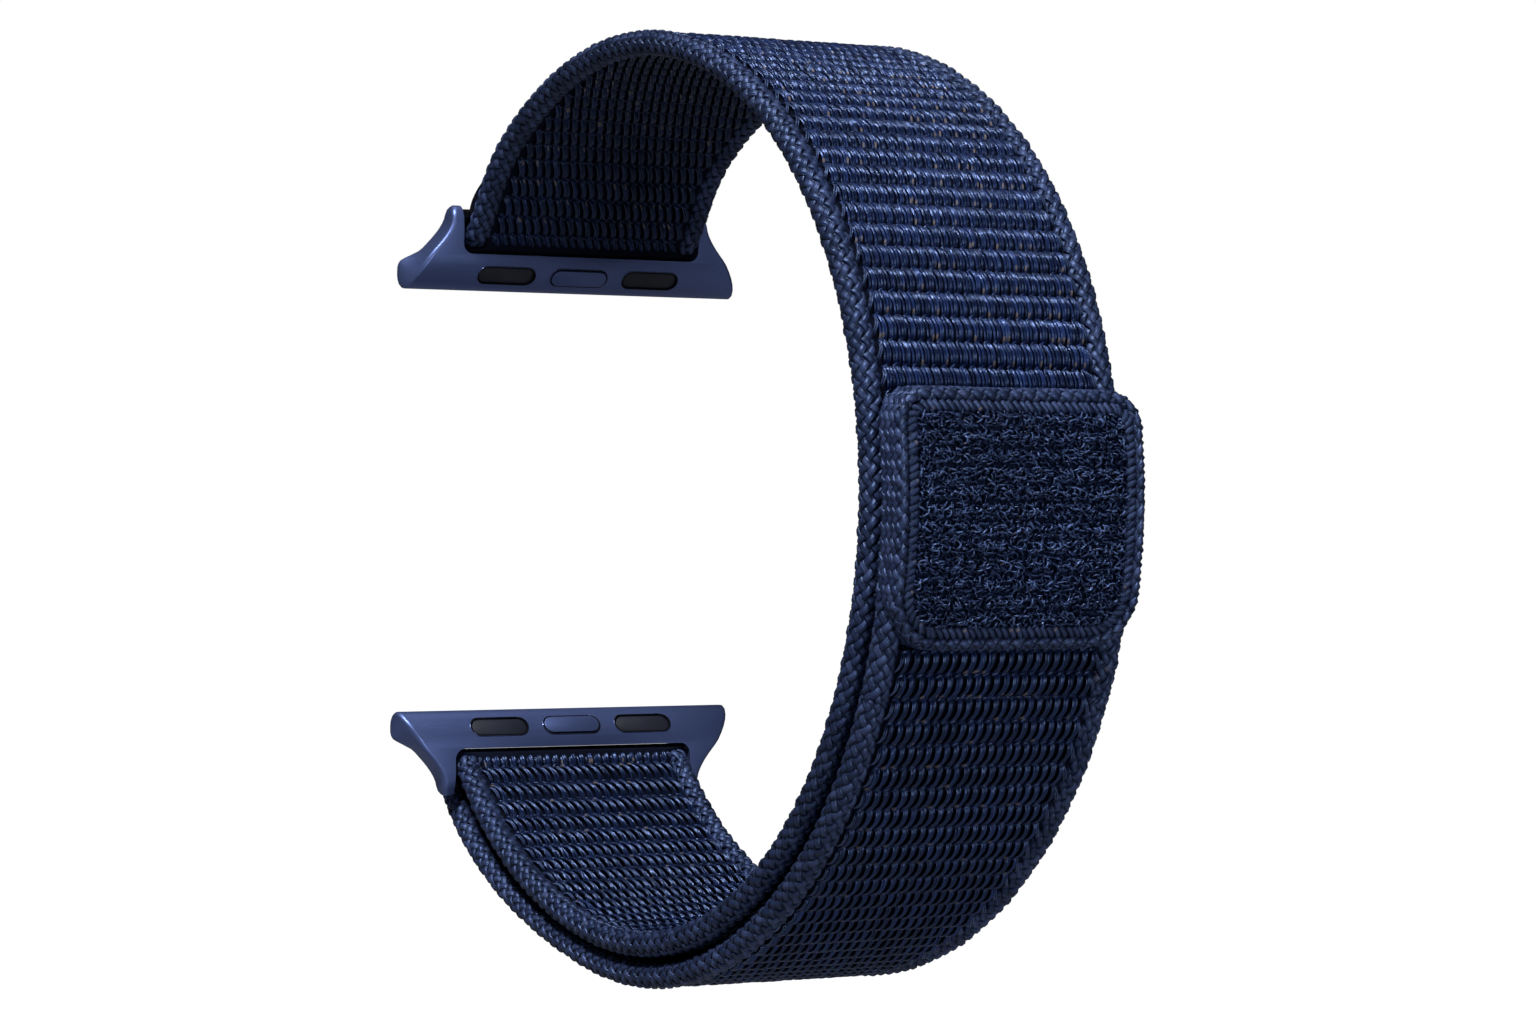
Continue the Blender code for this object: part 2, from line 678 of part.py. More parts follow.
def lug_middle(height):
    """The lug's middle line in its X and Z, and the turn there: below the slot it curves out to the case."""
    over_slot = height - LUG_CURVED_HEIGHT
    if over_slot >= 0:
        return Vector((0.0, over_slot - SLOT_DEPTH)), 0.0
    turn = -over_slot / LUG_CURVE_RADIUS
    moved = Vector((math.cos(turn) - 1, -math.sin(turn))) * LUG_CURVE_RADIUS
    return Vector((0.0, -SLOT_DEPTH)) + moved, turn


def pill_frame():
    """Stands pads and button on the lug's curved face: X out of the face, Z towards the band."""
    middle, turn = lug_middle(LUG_CURVED_HEIGHT - PILL_SLOT_DISTANCE)
    return Matrix.Translation((middle.x, 0.0, middle.y)) @ Matrix.Rotation(turn, 4, "Y")


def ends_divided(outline, parts):
    """A rounded box outline with points added, so that each of its two ends has as many parts."""
    half = len(outline) // 2
    made = []
    for n, at in enumerate(outline):
        made.append(at)
        if n % half == half - 1:
            after = outline[(n + 1) % len(outline)]
            made += [at.lerp(after, part / parts) for part in range(1, parts)]
    return made


def lug_sections():
    """The lug's sections from its case edge to its horn tips: each a rounded box across its middle line."""
    sections = []
    plain = len(LUG_PROFILE_SHARES) - len(HORN_TIP_ROUND_SHARES)
    rounds = (0.0,) * plain + HORN_TIP_ROUND_SHARES
    for (height_share, inner_share, outer_share), round_share in zip(LUG_PROFILE_SHARES, rounds):
        height = LUG_HEIGHT * height_share
        inner = LUG_INNER_DEPTH * inner_share
        outer = LUG_OUTER_DEPTH * outer_share
        radius = min(LUG_CORNER_RADIUS, (inner + outer) / 2)
        half_length = lug_half_length(height) - HORN_THICKNESS * round_share
        middle, turn = lug_middle(height)
        across = Vector((math.cos(turn), -math.sin(turn)))
        section = []
        for at in ends_divided(rounded_box(half_length, -outer, inner, radius), LUG_END_PARTS):
            side = middle + across * at.y
            section.append(Vector((side.x, at.x, side.y)))
        sections.append(section)
    return sections


def loft(name, sections, closed=False):
    """A closed mesh through sections that all have as many points: capped, or back to its first section."""
    shape = bmesh.new()
    rings = [[shape.verts.new(at) for at in section] for section in sections]
    for lower, upper in zip(rings, rings[1:] + rings[:1] if closed else rings[1:]):
        for n in range(len(lower)):
            after = (n + 1) % len(lower)
            shape.faces.new((lower[n], lower[after], upper[after], upper[n]))
    if not closed:
        for ring in (rings[0], rings[-1]):
            shape.faces.new(ring)
    bmesh.ops.remove_doubles(shape, verts=shape.verts, dist=WELD_DISTANCE)
    bmesh.ops.recalc_face_normals(shape, faces=shape.faces)
    data = bpy.data.meshes.new(name)
    shape.to_mesh(data)
    shape.free()
    data.shade_smooth()
    data.set_sharp_from_angle(angle=SHARP_ANGLE)
    return bpy.data.objects.new(name, data)


def pill_prism(name, y, growth, low, high):
    """A prism of the pads' pill outline, grown all round, between two levels over the pill frame."""
    outline = pill(PILL_LENGTH + 2 * growth, PILL_HEIGHT + 2 * growth)
    return prism(name, [[Vector((y + at.x, at.y)) for at in outline]], low, high, ON_LUG_FACE)


def pad_sides(facing):
    """The near and the far pad's names with their sides in the lug's own Y. A lug turned over faces -1."""
    return ("near", -facing), ("far", facing)


def lug_body(strap, prefix, pivot, face):
    """The lug's housing: flared ends, two horns with seats for the bar, and three pockets."""
    body = strap.add(loft(prefix + "_lug_body", lug_sections()), strap.navy_metal, pivot)
    slot_top = HORN_TIP + OVERRUN
    slot_outline = rounded_box(SLOT_HALF_WIDTH, -SLOT_DEPTH, slot_top, SLOT_CORNER_RADIUS)
    reach = LUG_INNER_DEPTH + LUG_OUTER_DEPTH + OVERRUN
    slot = prism(prefix + "_slot_cutter", [slot_outline], -reach, reach, ON_LUG_FACE)
    seat_length = 2 * (SLOT_HALF_WIDTH + BAR_SEAT_DEPTH + BAR_END_GAP)
    seats = cylinder_across(prefix + "_bar_seat_cutter", BAR_RADIUS + BAR_SEAT_GAP, seat_length)
    for cutter in (slot, seats):
        boolean(body, "DIFFERENCE", strap.add_cutter(cutter, pivot))
    top = LUG_INNER_DEPTH + OVERRUN
    pad_floor = LUG_INNER_DEPTH - PAD_SINK - PAD_THICKNESS - STACK_GAP
    pockets = [
        pill_prism(f"{prefix}_pad_cutter_{name}", side * PILL_PITCH, PILL_GAP, pad_floor, top)
        for name, side in pad_sides(1)
    ]
    pockets.append(pill_prism(prefix + "_button_cutter", 0.0, PILL_GAP, button_floor(), top))
    room_top = LUG_INNER_DEPTH + BUTTON_RISE - BUTTON_STEM + STACK_GAP
    room_growth = BUTTON_FLANGE_RIM + PILL_GAP
    pockets.append(pill_prism(prefix + "_button_room_cutter", 0.0, room_growth, button_floor(), room_top))
    for cutter in pockets:
        boolean(body, "DIFFERENCE", strap.add_cutter(cutter, face))


def button_underside():
    """The level of the lock button's underside in the lug's X."""
    return LUG_INNER_DEPTH + BUTTON_RISE - BUTTON_STEM - BUTTON_FLANGE


def button_floor():
    """The level of the floor under the lock spring."""
    return button_underside() - BUTTON_TRAVEL - SPRING_THICKNESS - 2 * SPRING_GAP


def pads(strap, prefix, face, facing):
    """The two rubber pads, each a little below the lug's face."""
    pad_top = LUG_INNER_DEPTH - PAD_SINK
    for name, side in pad_sides(facing):
        pad = pill_prism(f"{prefix}_pad_{name}", side * PILL_PITCH, 0.0, pad_top - PAD_THICKNESS, pad_top)
        strap.add(pad, strap.black_rubber, face)
        bevel(pad, PAD_ROUND)


def lock_button(strap, prefix, face):
    """The spring-loaded button that snaps into the watch case, with the flange that keeps it in."""
    top = LUG_INNER_DEPTH + BUTTON_RISE
    shoulder = top - BUTTON_STEM
    button = pill_prism(prefix + "_lock_button", 0.0, 0.0, shoulder - BUTTON_FLANGE / 2, top)
    bevel(button, PAD_ROUND)
    strap.add(button, strap.navy_metal, face)
    rim = pill_prism(prefix + "_flange_cutter", 0.0, BUTTON_FLANGE_RIM, button_underside(), shoulder)
    boolean(button, "UNION", strap.add_cutter(rim, face))


def lock_spring(strap, prefix, face):
    """A bowed leaf spring under the lock button, its ends on the floor and its middle at the button."""
    low = button_floor() + SPRING_GAP
    rise = button_underside() - SPRING_GAP - SPRING_THICKNESS - low
    half = SPRING_LENGTH / 2
    upper, lower = [], []
    for n in range(SPRING_POINTS + 1):
        along = 2 * n / SPRING_POINTS - 1
        level = low + rise * (1 - along * along)
        lower.append(Vector((half * along, level)))
        upper.append(Vector((half * along, level + SPRING_THICKNESS)))
    outline = lower + upper[::-1]
    spring = prism(prefix + "_lock_spring", [outline], -SPRING_WIDTH / 2, SPRING_WIDTH / 2, ACROSS_LUG)
    strap.add(spring, strap.steel, face)


def lug(strap, prefix, at, turn, facing):
    """One whole lug on a pivot at its bar. A lug turned over faces -1."""
    pivot = strap.empty(prefix + "_lug_pivot", strap.centre)
    pivot.matrix_basis = Matrix.Translation((at.x, 0.0, at.y)) @ turn
    face = strap.empty(prefix + "_button_slide", pivot)
    face.matrix_basis = pill_frame()
    lug_body(strap, prefix, pivot, face)
    bar = cylinder_across(prefix + "_bar", BAR_RADIUS, 2 * (SLOT_HALF_WIDTH + BAR_SEAT_DEPTH))
    bar.data.shade_smooth()
    bar.data.set_sharp_from_angle(angle=SHARP_ANGLE)
    strap.add(bar, strap.steel, pivot)
    pads(strap, prefix, face, facing)
    lock_button(strap, prefix, face)
    lock_spring(strap, prefix, face)


def centre_on_origin(strap):
    """Moves the whole strap so that the middle of its box is at the origin."""
    bpy.context.view_layer.update()
    graph = bpy.context.evaluated_depsgraph_get()
    points = []
    for made in strap.pieces.objects:
        if made.type != "EMPTY":
            evaluated = made.evaluated_get(graph)
            points += [evaluated.matrix_world @ vertex.co for vertex in evaluated.to_mesh().vertices]
            evaluated.to_mesh_clear()
    low = Vector(min(point[i] for point in points) for i in range(3))
    high = Vector(max(point[i] for point in points) for i in range(3))
    strap.centre.location = -(low + high) / 2


def main():
    """Builds the strap at rest and returns it."""
    strap = Strap()
    flex_hinge = strap.hinge("upper_arm_hinge", flex_hinge_point())
    tail_hinge = strap.hinge("tail_hinge", lower_bar_point())
    tab_hinge = strap.hinge("tab_hinge", tab_hinge_point())
    upper_band(strap, flex_hinge)
    flex_band(strap)
    main_band(strap)
    fold_band(strap)
    tail_band(strap, tail_hinge)
    tab(strap, tab_hinge)
    tilt = Matrix.Rotation(LUG_TILT, 4, "Y")
    lug(strap, "upper", upper_bar_point(), tilt, 1)
    over = Matrix.Rotation(-LUG_TILT, 4, "Y") @ Matrix.Rotation(math.pi, 4, "X")
    lug(strap, "lower", lower_bar_point(), over, -1)
    centre_on_origin(strap)
    return strap


if __name__ == "__main__":
    main()
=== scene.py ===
"""Dresses the solids of a hook and loop watch strap for a studio picture.

The band is rebuilt from its yarn: rows of arched strands on both faces of each stretch, braided cords on
both edges, and the stitches between them. The tab gets its braided rim, its curled loops and its hooks,
and the lugs get a satin metal. Lengths are in metres, in the same frame as the solids.
"""

from __future__ import annotations

import json
import logging
import math
from dataclasses import dataclass, field
from enum import Enum, IntEnum
from typing import Callable, ClassVar

import bmesh
import bpy
import numpy as np
from mathutils import Matrix, Vector

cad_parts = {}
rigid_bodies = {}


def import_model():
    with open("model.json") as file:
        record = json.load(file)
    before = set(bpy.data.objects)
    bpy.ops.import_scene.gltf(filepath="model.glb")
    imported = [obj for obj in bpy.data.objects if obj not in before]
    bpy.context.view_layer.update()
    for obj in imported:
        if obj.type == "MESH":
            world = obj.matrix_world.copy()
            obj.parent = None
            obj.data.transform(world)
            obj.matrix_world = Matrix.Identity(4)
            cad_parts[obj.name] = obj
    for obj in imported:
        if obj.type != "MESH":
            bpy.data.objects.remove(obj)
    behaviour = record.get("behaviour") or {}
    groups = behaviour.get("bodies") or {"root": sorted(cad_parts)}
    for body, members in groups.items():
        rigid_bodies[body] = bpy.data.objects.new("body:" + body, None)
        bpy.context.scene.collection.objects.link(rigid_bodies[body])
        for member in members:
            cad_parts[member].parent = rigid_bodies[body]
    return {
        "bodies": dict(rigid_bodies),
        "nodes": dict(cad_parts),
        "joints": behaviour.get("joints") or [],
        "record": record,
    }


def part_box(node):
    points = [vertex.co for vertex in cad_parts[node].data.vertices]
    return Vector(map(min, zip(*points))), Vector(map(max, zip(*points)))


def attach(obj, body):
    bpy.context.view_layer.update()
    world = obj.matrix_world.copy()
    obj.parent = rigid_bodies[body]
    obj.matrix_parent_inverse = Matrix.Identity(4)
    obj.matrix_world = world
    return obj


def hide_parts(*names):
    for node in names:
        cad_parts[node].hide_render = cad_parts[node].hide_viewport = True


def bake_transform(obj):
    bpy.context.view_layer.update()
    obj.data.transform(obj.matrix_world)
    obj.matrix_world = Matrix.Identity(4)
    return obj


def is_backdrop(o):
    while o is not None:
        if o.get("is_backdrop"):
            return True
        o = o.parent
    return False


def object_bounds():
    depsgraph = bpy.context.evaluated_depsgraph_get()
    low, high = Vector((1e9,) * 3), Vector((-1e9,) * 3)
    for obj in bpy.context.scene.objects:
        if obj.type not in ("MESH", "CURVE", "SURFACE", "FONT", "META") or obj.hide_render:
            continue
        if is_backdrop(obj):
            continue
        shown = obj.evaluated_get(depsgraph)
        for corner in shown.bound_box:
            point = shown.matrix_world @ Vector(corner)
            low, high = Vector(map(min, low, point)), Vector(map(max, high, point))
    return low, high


LOG = logging.getLogger("watch_strap")
Place = Callable[[np.ndarray, np.ndarray, np.ndarray], np.ndarray]
Colour = tuple[float, float, float]
Socket = bpy.types.NodeSocket
MM = 0.001
PLATE_SHARP = math.radians(50.0)
NOISE_SPAN = (0.3, 0.7)
WHITE = (1.0, 1.0, 1.0)


class Edge(Enum):
    """The two edges of the band: near the camera's side and far from it."""

    NEAR = -1
    FAR = 1


class Wind(Enum):
    """The two ways that a braid's carriers wind."""

    LEFT = -1
    RIGHT = 1


class Layer(Enum):
    """The two layers of the band: the one at the wrist and the tail outside it."""

    INNER = "inner"
    OUTER = "outer"


class End(Enum):
    """The strap's two ends, each with its lug."""

    UPPER = "upper"
    LOWER = "lower"


class Line(Enum):
    """The two lines round a lug's pocket: its bright edge, and a near-black tube in the gap inside it that is
    painted shadow.
    """

    EDGE = "edge"
    SEAM = "seam"


class Seed(IntEnum):
    """The numbers that the chances of each piece start from."""

    TAB_PILE = 5
    TAB_RIM = 41
    TAB_STITCHES = 77
    FLEX = 100
    MAIN = 200
    FOLD = 300
    TAIL = 400
    TAB_FLEX = 500
    UPPER = 600
    UPPER_CORDS = 640


@dataclass(frozen=True)
class BandSizes:
    """The band's sizes, as the solids have them."""

    half_depth: float = 33.2 * MM
    half_height: float = 31.75 * MM
    half_width: float = 10.0 * MM
    web_half: float = 0.85 * MM
    cord_radius: float = 0.95 * MM
    layer_step: float = 2.25 * MM
    fold_radius: float = 1.65 * MM
    eye_radius: float = 2.5 * MM
    end_spread: float = 0.6 * MM
    upper_neck: float = 8.0 * MM
    lower_neck: float = 22.0 * MM
    tail_narrowing: float = 0.45 * MM
    tail_taper: float = 18.0 * MM
    upper_bar: float = math.radians(140.9)
    lower_bar: float = math.radians(-137.7)
    upper_hook: float = math.pi * 0.66
    flex_start: float = math.radians(76.0)
    flex_end: float = math.radians(50.0)
    tab_middle: float = math.radians(-1.2)
    tab_length: float = 17.0 * MM
    tab_flex: float = 3.3 * MM


@dataclass(frozen=True)
class Leans:
    """How far each face's strands lean across the band, in strand spacings."""

    flex: float = -1.2
    flex_inner: float = -1.7
    main: float = -0.5
    inner: float = 1.6
    fold: float = -0.2
    tail: float = 0.9
    upper: float = -1.7
    upper_inner: float = 1.6


def linked(made: bpy.types.Object) -> bpy.types.Object:
    """Puts an object in the scene and returns it."""
    bpy.context.scene.collection.objects.link(made)
    return made


def smooth(share: np.ndarray) -> np.ndarray:
    """A soft step from 0 to 1."""
    share = np.clip(share, 0.0, 1.0)
    return share * share * (3 - 2 * share)


def unit(vectors: np.ndarray) -> np.ndarray:
    """Vectors brought to a length of 1 along their last axis."""
    return vectors / np.linalg.norm(vectors, axis=-1, keepdims=True)


def reaches(points: np.ndarray) -> np.ndarray:
    """How far along a line of points each of them lies."""
    steps = np.linalg.norm(np.diff(points, axis=0), axis=1)
    return np.concatenate([[0.0], np.cumsum(steps)])


def read(share: np.ndarray, values: np.ndarray) -> np.ndarray:
    """Values that are given at even steps of a length, read at shares of it."""
    return np.interp(share, np.linspace(0.0, 1.0, len(values)), values)


def grid(*counts: int) -> list[np.ndarray]:
    """Every combination of the numbers below each count, as one flat array for each count."""
    return [numbers.ravel() for numbers in np.meshgrid(*map(np.arange, counts), indexing="ij")]


def turned(first: np.ndarray, angles: np.ndarray) -> np.ndarray:
    """Turns a direction in the XZ plane.

    Args:
        first: a unit vector in X and Z.
        angles: how far to turn it.

    Returns:
        A unit vector for each angle.
    """
    x = first[0] * np.cos(angles) - first[1] * np.sin(angles)
    z = first[0] * np.sin(angles) + first[1] * np.cos(angles)
    return np.stack([x, z], axis=-1)


class Loop:
    """The line that the band's middle follows: an ellipse in the XZ plane, with its length by angle."""

    samples: ClassVar[int] = 7201
    strides: ClassVar[int] = 60
    nudge: ClassVar[float] = 1e-4

    def __init__(self, sizes: BandSizes, centre: np.ndarray) -> None:
        """Measures the ellipse.

        Args:
            sizes: the band's sizes.
            centre: the ellipse's middle, in X and Z.
        """
        self.sizes = sizes
        self.centre = centre
        self.angles = np.linspace(-math.pi, math.pi, self.samples)
        self.reach = reaches(self.point(self.angles, 0.0))

    def normal(self, angle: np.ndarray) -> np.ndarray:
        """The directions out of the loop.

        Args:
            angle: angles on the loop.

        Returns:
            Unit vectors in X and Z, in a last axis of 2.
        """
        x, z = self.sizes.half_height * np.cos(angle), self.sizes.half_depth * np.sin(angle)
        return unit(np.stack([x, z], axis=-1))

    def point(self, angle: np.ndarray, offset: np.ndarray | float) -> np.ndarray:
        """Points of the loop, moved out along its normals.

        Args:
            angle: angles on the loop.
            offset: how far out, for all of them or for each.

        Returns:
            Points in X and Z, in a last axis of 2.
        """
        x, z = self.sizes.half_depth * np.cos(angle), self.sizes.half_height * np.sin(angle)
        out = np.asarray(offset, float)
        return self.centre + np.stack([x, z], axis=-1) + self.normal(angle) * (out[..., None] if out.ndim else out)

    def after(self, angle: float, distance: float, offset: float = 0.0) -> float:
        """The angle that lies a distance further along the path at an offset.

        Args:
            angle: where to start.
            distance: how far, anticlockwise if it is positive.
            offset: how far out of the loop the path runs.

        Returns:
            The angle there.
        """
        for _ in range(self.strides):
            ahead = self.point(np.array([angle - self.nudge, angle + self.nudge]), offset)
            speed = np.linalg.norm(ahead[1] - ahead[0]) / (2 * self.nudge)
            angle += distance / self.strides / speed
        return angle

    def reach_at(self, angle: np.ndarray | float) -> np.ndarray:
        """How far along the loop's middle angles lie."""
        return np.interp(angle, self.angles, self.reach)

    def near(self, angle: np.ndarray, bar: float, neck: float) -> np.ndarray:
        """1 at a bar, falling softly to 0 at a neck's length from it."""
        away = np.abs(self.reach_at(angle) - self.reach_at(bar))
        return smooth(1 - away / neck)

    def inner(self, angle: np.ndarray) -> np.ndarray:
        """How far out the middle of the inner layer and of the upper end runs.

        Args:
            angle: angles on the loop.

        Returns:
            The offset at each angle.
        """
        upper = self.near(angle, self.sizes.upper_bar, self.sizes.upper_neck)
        lower = self.near(angle, self.sizes.lower_bar, self.sizes.lower_neck)
        return self.sizes.end_spread * np.where(angle > 0, upper, lower)

    def outer(self, angle: np.ndarray) -> np.ndarray:
        """How far out the middle of the outer layer runs.

        Args:
            angle: angles on the loop.

        Returns:
            The offset at each angle.
        """
        near = self.near(angle, self.sizes.lower_bar, self.sizes.lower_neck)
        spread = self.sizes.end_spread + 2 * self.sizes.fold_radius - self.sizes.layer_step
        return self.sizes.layer_step + spread * near


class Lane:
    """A line in the XZ plane with a normal at each point, read by the distance along it."""

    def __init__(self, points: np.ndarray, normals: np.ndarray) -> None:
        """Measures the line.

        Args:
            points: the line's points in X and Z.
            normals: the unit normals there.
        """
        self.reach = reaches(points)
        self.points = points
        self.normals = normals

    @property
    def length(self) -> float:
        """The line's length."""
        return float(self.reach[-1])

    def normal(self, along: np.ndarray) -> np.ndarray:
        """The line's normals.

        Args:
            along: distances along the line.

        Returns:
            Unit vectors in space, in a last axis of 3.
        """
        x = np.interp(along, self.reach, self.normals[:, 0])
        z = np.interp(along, self.reach, self.normals[:, 1])
        return unit(np.stack([x, np.zeros_like(x), z], axis=-1))

    def place(self, along: np.ndarray, across: np.ndarray, height: np.ndarray) -> np.ndarray:
        """Points over the line.

        Args:
            along: distances along the line.
            across: places across the band, along Y.
            height: heights over the line, along its normals.

        Returns:
            Points in space, in a last axis of 3.
        """
        along, across, height = np.broadcast_arrays(along, across, height)
        x = np.interp(along, self.reach, self.points[:, 0])
        z = np.interp(along, self.reach, self.points[:, 1])
        return np.stack([x, across, z], axis=-1) + self.normal(along) * height[..., None]

    def ends(self) -> tuple[tuple, tuple]:
        """The line's first and last point in space."""
        return tuple(tuple(map(float, self.place(np.array(at), 0.0, 0.0))) for at in (0.0, self.length))

    def joined(self, other: Lane) -> Lane:
        """This line with another one after it, that starts about where this one ends."""
        points, normals = [self.points, other.points], [self.normals, other.normals]
        return Lane(np.concatenate(points), np.concatenate(normals))

    def turned(self) -> Lane:
        """The same line from its other end."""
        return Lane(self.points[::-1], self.normals[::-1])


@dataclass
class Tubes:
    """Many thin closed tubes in one mesh, each with a tint and a place along and around it."""

    cell_fill: ClassVar[float] = 0.9
    cap_radius: ClassVar[float] = 0.04
    cap_middle: ClassVar[float] = 0.95
    caps_apart: ClassVar[float] = 0.5
    least: ClassVar[float] = 1e-12

    name: str
    points: list[np.ndarray] = field(default_factory=list)
    corners: list[np.ndarray] = field(default_factory=list)
    sizes: list[np.ndarray] = field(default_factory=list)
    marks: list[np.ndarray] = field(default_factory=list)
    places: list[np.ndarray] = field(default_factory=list)
    tubes: int = 0

    def add(
        self,
        centres: np.ndarray,
        upward: np.ndarray,
        width: np.ndarray | float,
        thickness: np.ndarray | float,
        tint: np.ndarray,
        sides: int = 5,
    ) -> None:
        """Adds tubes that all have as many points.

        Args:
            centres: the tubes' middle lines, as tubes by points by 3.
            upward: the direction that is up on the tubes' outside, of the same shape.
            width: half the tubes' width, for all or as tubes by points.
            thickness: half the tubes' thickness, for all or as tubes by points.
            tint: a number from 0 to 1 for each tube.
            sides: how many sides a tube has.
        """
        count, length = centres.shape[:2]
        ahead = np.gradient(centres, axis=1)
        ahead /= np.maximum(np.linalg.norm(ahead, axis=-1, keepdims=True), self.least)
        side = np.cross(ahead, upward)
        side /= np.maximum(np.linalg.norm(side, axis=-1, keepdims=True), self.least)
        up = np.cross(side, ahead)
        turn = -math.pi / 2 + 2 * math.pi * (np.arange(sides) + 0.5) / sides
        wide = np.broadcast_to(width, (count, length))[..., None, None]
        thick = np.broadcast_to(thickness, (count, length))[..., None, None]
        ring = side[:, :, None, :] * np.cos(turn)[None, None, :, None] * wide
        ring = ring + up[:, :, None, :] * np.sin(turn)[None, None, :, None] * thick
        start = sum(len(p) for p in self.points)
        self.points.append((centres[:, :, None, :] + ring).reshape(-1, 3))
        self.join(start + np.arange(count * length * sides).reshape(count, length, sides))

        share = np.linspace(0.0, 1.0, length)[None, :, None]
        around = (np.arange(sides) / sides)[None, None, :]
        shade = np.asarray(tint)[:, None, None]
        marks = np.broadcast_arrays(shade, share, around)
        self.marks.append(np.stack(marks, axis=-1).reshape(-1, 3))
        self.chart(count, length, turn)
        self.tubes += count

    def join(self, number: np.ndarray) -> None:
        """Joins the points of new tubes with faces, and closes their ends.

        Args:
            number: the points' numbers, as tubes by points by sides.
        """
        count, length, sides = number.shape
        after = np.roll(number, -1, axis=2)
        quads = np.stack([number[:, :-1], number[:, 1:], after[:, 1:], after[:, :-1]], axis=-1)
        caps = np.stack([number[:, 0, :], number[:, -1, ::-1]], axis=1)
        self.corners += [quads.reshape(-1), caps.reshape(-1)]
        self.sizes += [np.full(count * (length - 1) * sides, 4), np.full(count * 2, sides)]

    def chart(self, count: int, length: int, turn: np.ndarray) -> None:
        """Gives each face of new tubes a place in its tube's cell of the chart.

        Args:
            count: how many tubes there are.
            length: how many points each of them has.
            turn: the angle of each of their sides.
        """
        sides = len(turn)
        cell = (self.tubes + np.arange(count))[:, None, None, None]
        u = (np.arange(sides)[None, None, :, None] + np.array([0, 0, 1, 1])[None, None, None, :]) / sides
        v = np.arange(length - 1)[None, :, None, None] + np.array([0, 1, 1, 0])[None, None, None, :]
        u = np.broadcast_to(u * self.cell_fill, (count, length - 1, sides, 4))
        v = np.broadcast_to(v / (length - 1) * self.cell_fill, (count, length - 1, sides, 4))
        cells = np.broadcast_to(cell, u.shape)
        self.places.append(np.stack([cells, u, v], axis=-1).reshape(-1, 3))
        spot = self.cap_radius * np.stack([np.cos(turn), np.sin(turn)], axis=-1) + self.cap_middle
        pair = np.broadcast_to(spot[None, None], (count, 2, sides, 2)).copy()
        pair[:, 1, :, 0] -= self.caps_apart
        cells = np.broadcast_to(cell, (count, 2, sides, 1))
        self.places.append(np.concatenate([cells, pair], axis=-1).reshape(-1, 3))

    def add_ring(self, rings: np.ndarray, tint: float) -> None:
        """Adds one tube that is given by its own rings of points.

        Args:
            rings: its points, as 1 by rings by sides by 3.
            tint: a number from 0 to 1.
        """
        middle = rings.mean(axis=2)
        ahead = middle[0, 1] - middle[0, 0]
        if np.dot(np.cross(rings[0, 0, 0] - middle[0, 0], rings[0, 0, 1] - middle[0, 0]), ahead) > 0:
            rings = rings[:, :, ::-1]
        self.add(middle, rings[:, :, 0] - middle, 0.0, 0.0, np.array([tint]), rings.shape[2])
        self.points[-1] = rings.reshape(-1, 3)

    def build(self) -> bpy.types.Object:
        """Makes the mesh.

        Returns:
            A new object, linked to the scene, with a chart for baking.
        """
        data = bpy.data.meshes.new(self.name)
        points = np.concatenate(self.points)
        corners = np.concatenate(self.corners)
        sizes = np.concatenate(self.sizes)
        data.vertices.add(len(points))
        data.vertices.foreach_set("co", points.astype(np.float32).ravel())
        data.loops.add(len(corners))
        data.loops.foreach_set("vertex_index", corners.astype(np.int32))
        data.polygons.add(len(sizes))
        starts = np.concatenate([[0], np.cumsum(sizes)[:-1]])
        data.polygons.foreach_set("loop_start", starts.astype(np.int32))
        data.update(calc_edges=True)
        data.validate()
        marks = data.attributes.new("yarn", "FLOAT_VECTOR", "POINT")
        marks.data.foreach_set("vector", np.concatenate(self.marks).astype(np.float32).ravel())
        places = np.concatenate(self.places)
        columns = math.ceil(math.sqrt(self.tubes))
        rows = math.ceil(self.tubes / columns)
        u = (places[:, 0] % columns + places[:, 1]) / columns
        v = (places[:, 0] // columns + places[:, 2]) / rows
        chart = data.uv_layers.new(name="OFBake")
        chart.data.foreach_set("uv", np.stack([u, v], axis=-1).astype(np.float32).ravel())
        data.shade_smooth()
        return linked(bpy.data.objects.new(self.name, data))


def plate(name: str, sections: np.ndarray) -> bpy.types.Object:
    """Makes a closed mesh through sections.

    Args:
        name: the object's name.
        sections: the sections' corners, as sections by corners by 3.

    Returns:
        A new object, linked to the scene.
    """
    count, corners = sections.shape[:2]
    number = np.arange(count * corners).reshape(count, corners)
    after = np.roll(number, -1, axis=1)
    quads = np.stack([number[:-1], after[:-1], after[1:], number[1:]], axis=-1).reshape(-1, 4)
    faces = [tuple(map(int, face)) for face in (*quads, number[0, ::-1], number[-1])]
    data = bpy.data.meshes.new(name)
    data.from_pydata([tuple(map(float, point)) for point in sections.reshape(-1, 3)], [], faces)
    data.validate()
    shape = bmesh.new()
    shape.from_mesh(data)
    bmesh.ops.recalc_face_normals(shape, faces=shape.faces)
    shape.to_mesh(data)
    shape.free()
    data.shade_smooth()
    data.set_sharp_from_angle(angle=PLATE_SHARP)
    return linked(bpy.data.objects.new(name, data))


@dataclass(frozen=True)
class Strip:
    """A strip of band: its two faces, its edges' middle line and half its width at even steps."""

    name: str
    outer: Lane
    inner: Lane
    middle: Lane
    half_width: np.ndarray
    lean: float
    inner_lean: float

    def width(self, along: np.ndarray, lane: Lane) -> np.ndarray:
        """Half the band's whole width at distances along a lane."""
        return read(np.asarray(along) / lane.length, self.half_width)


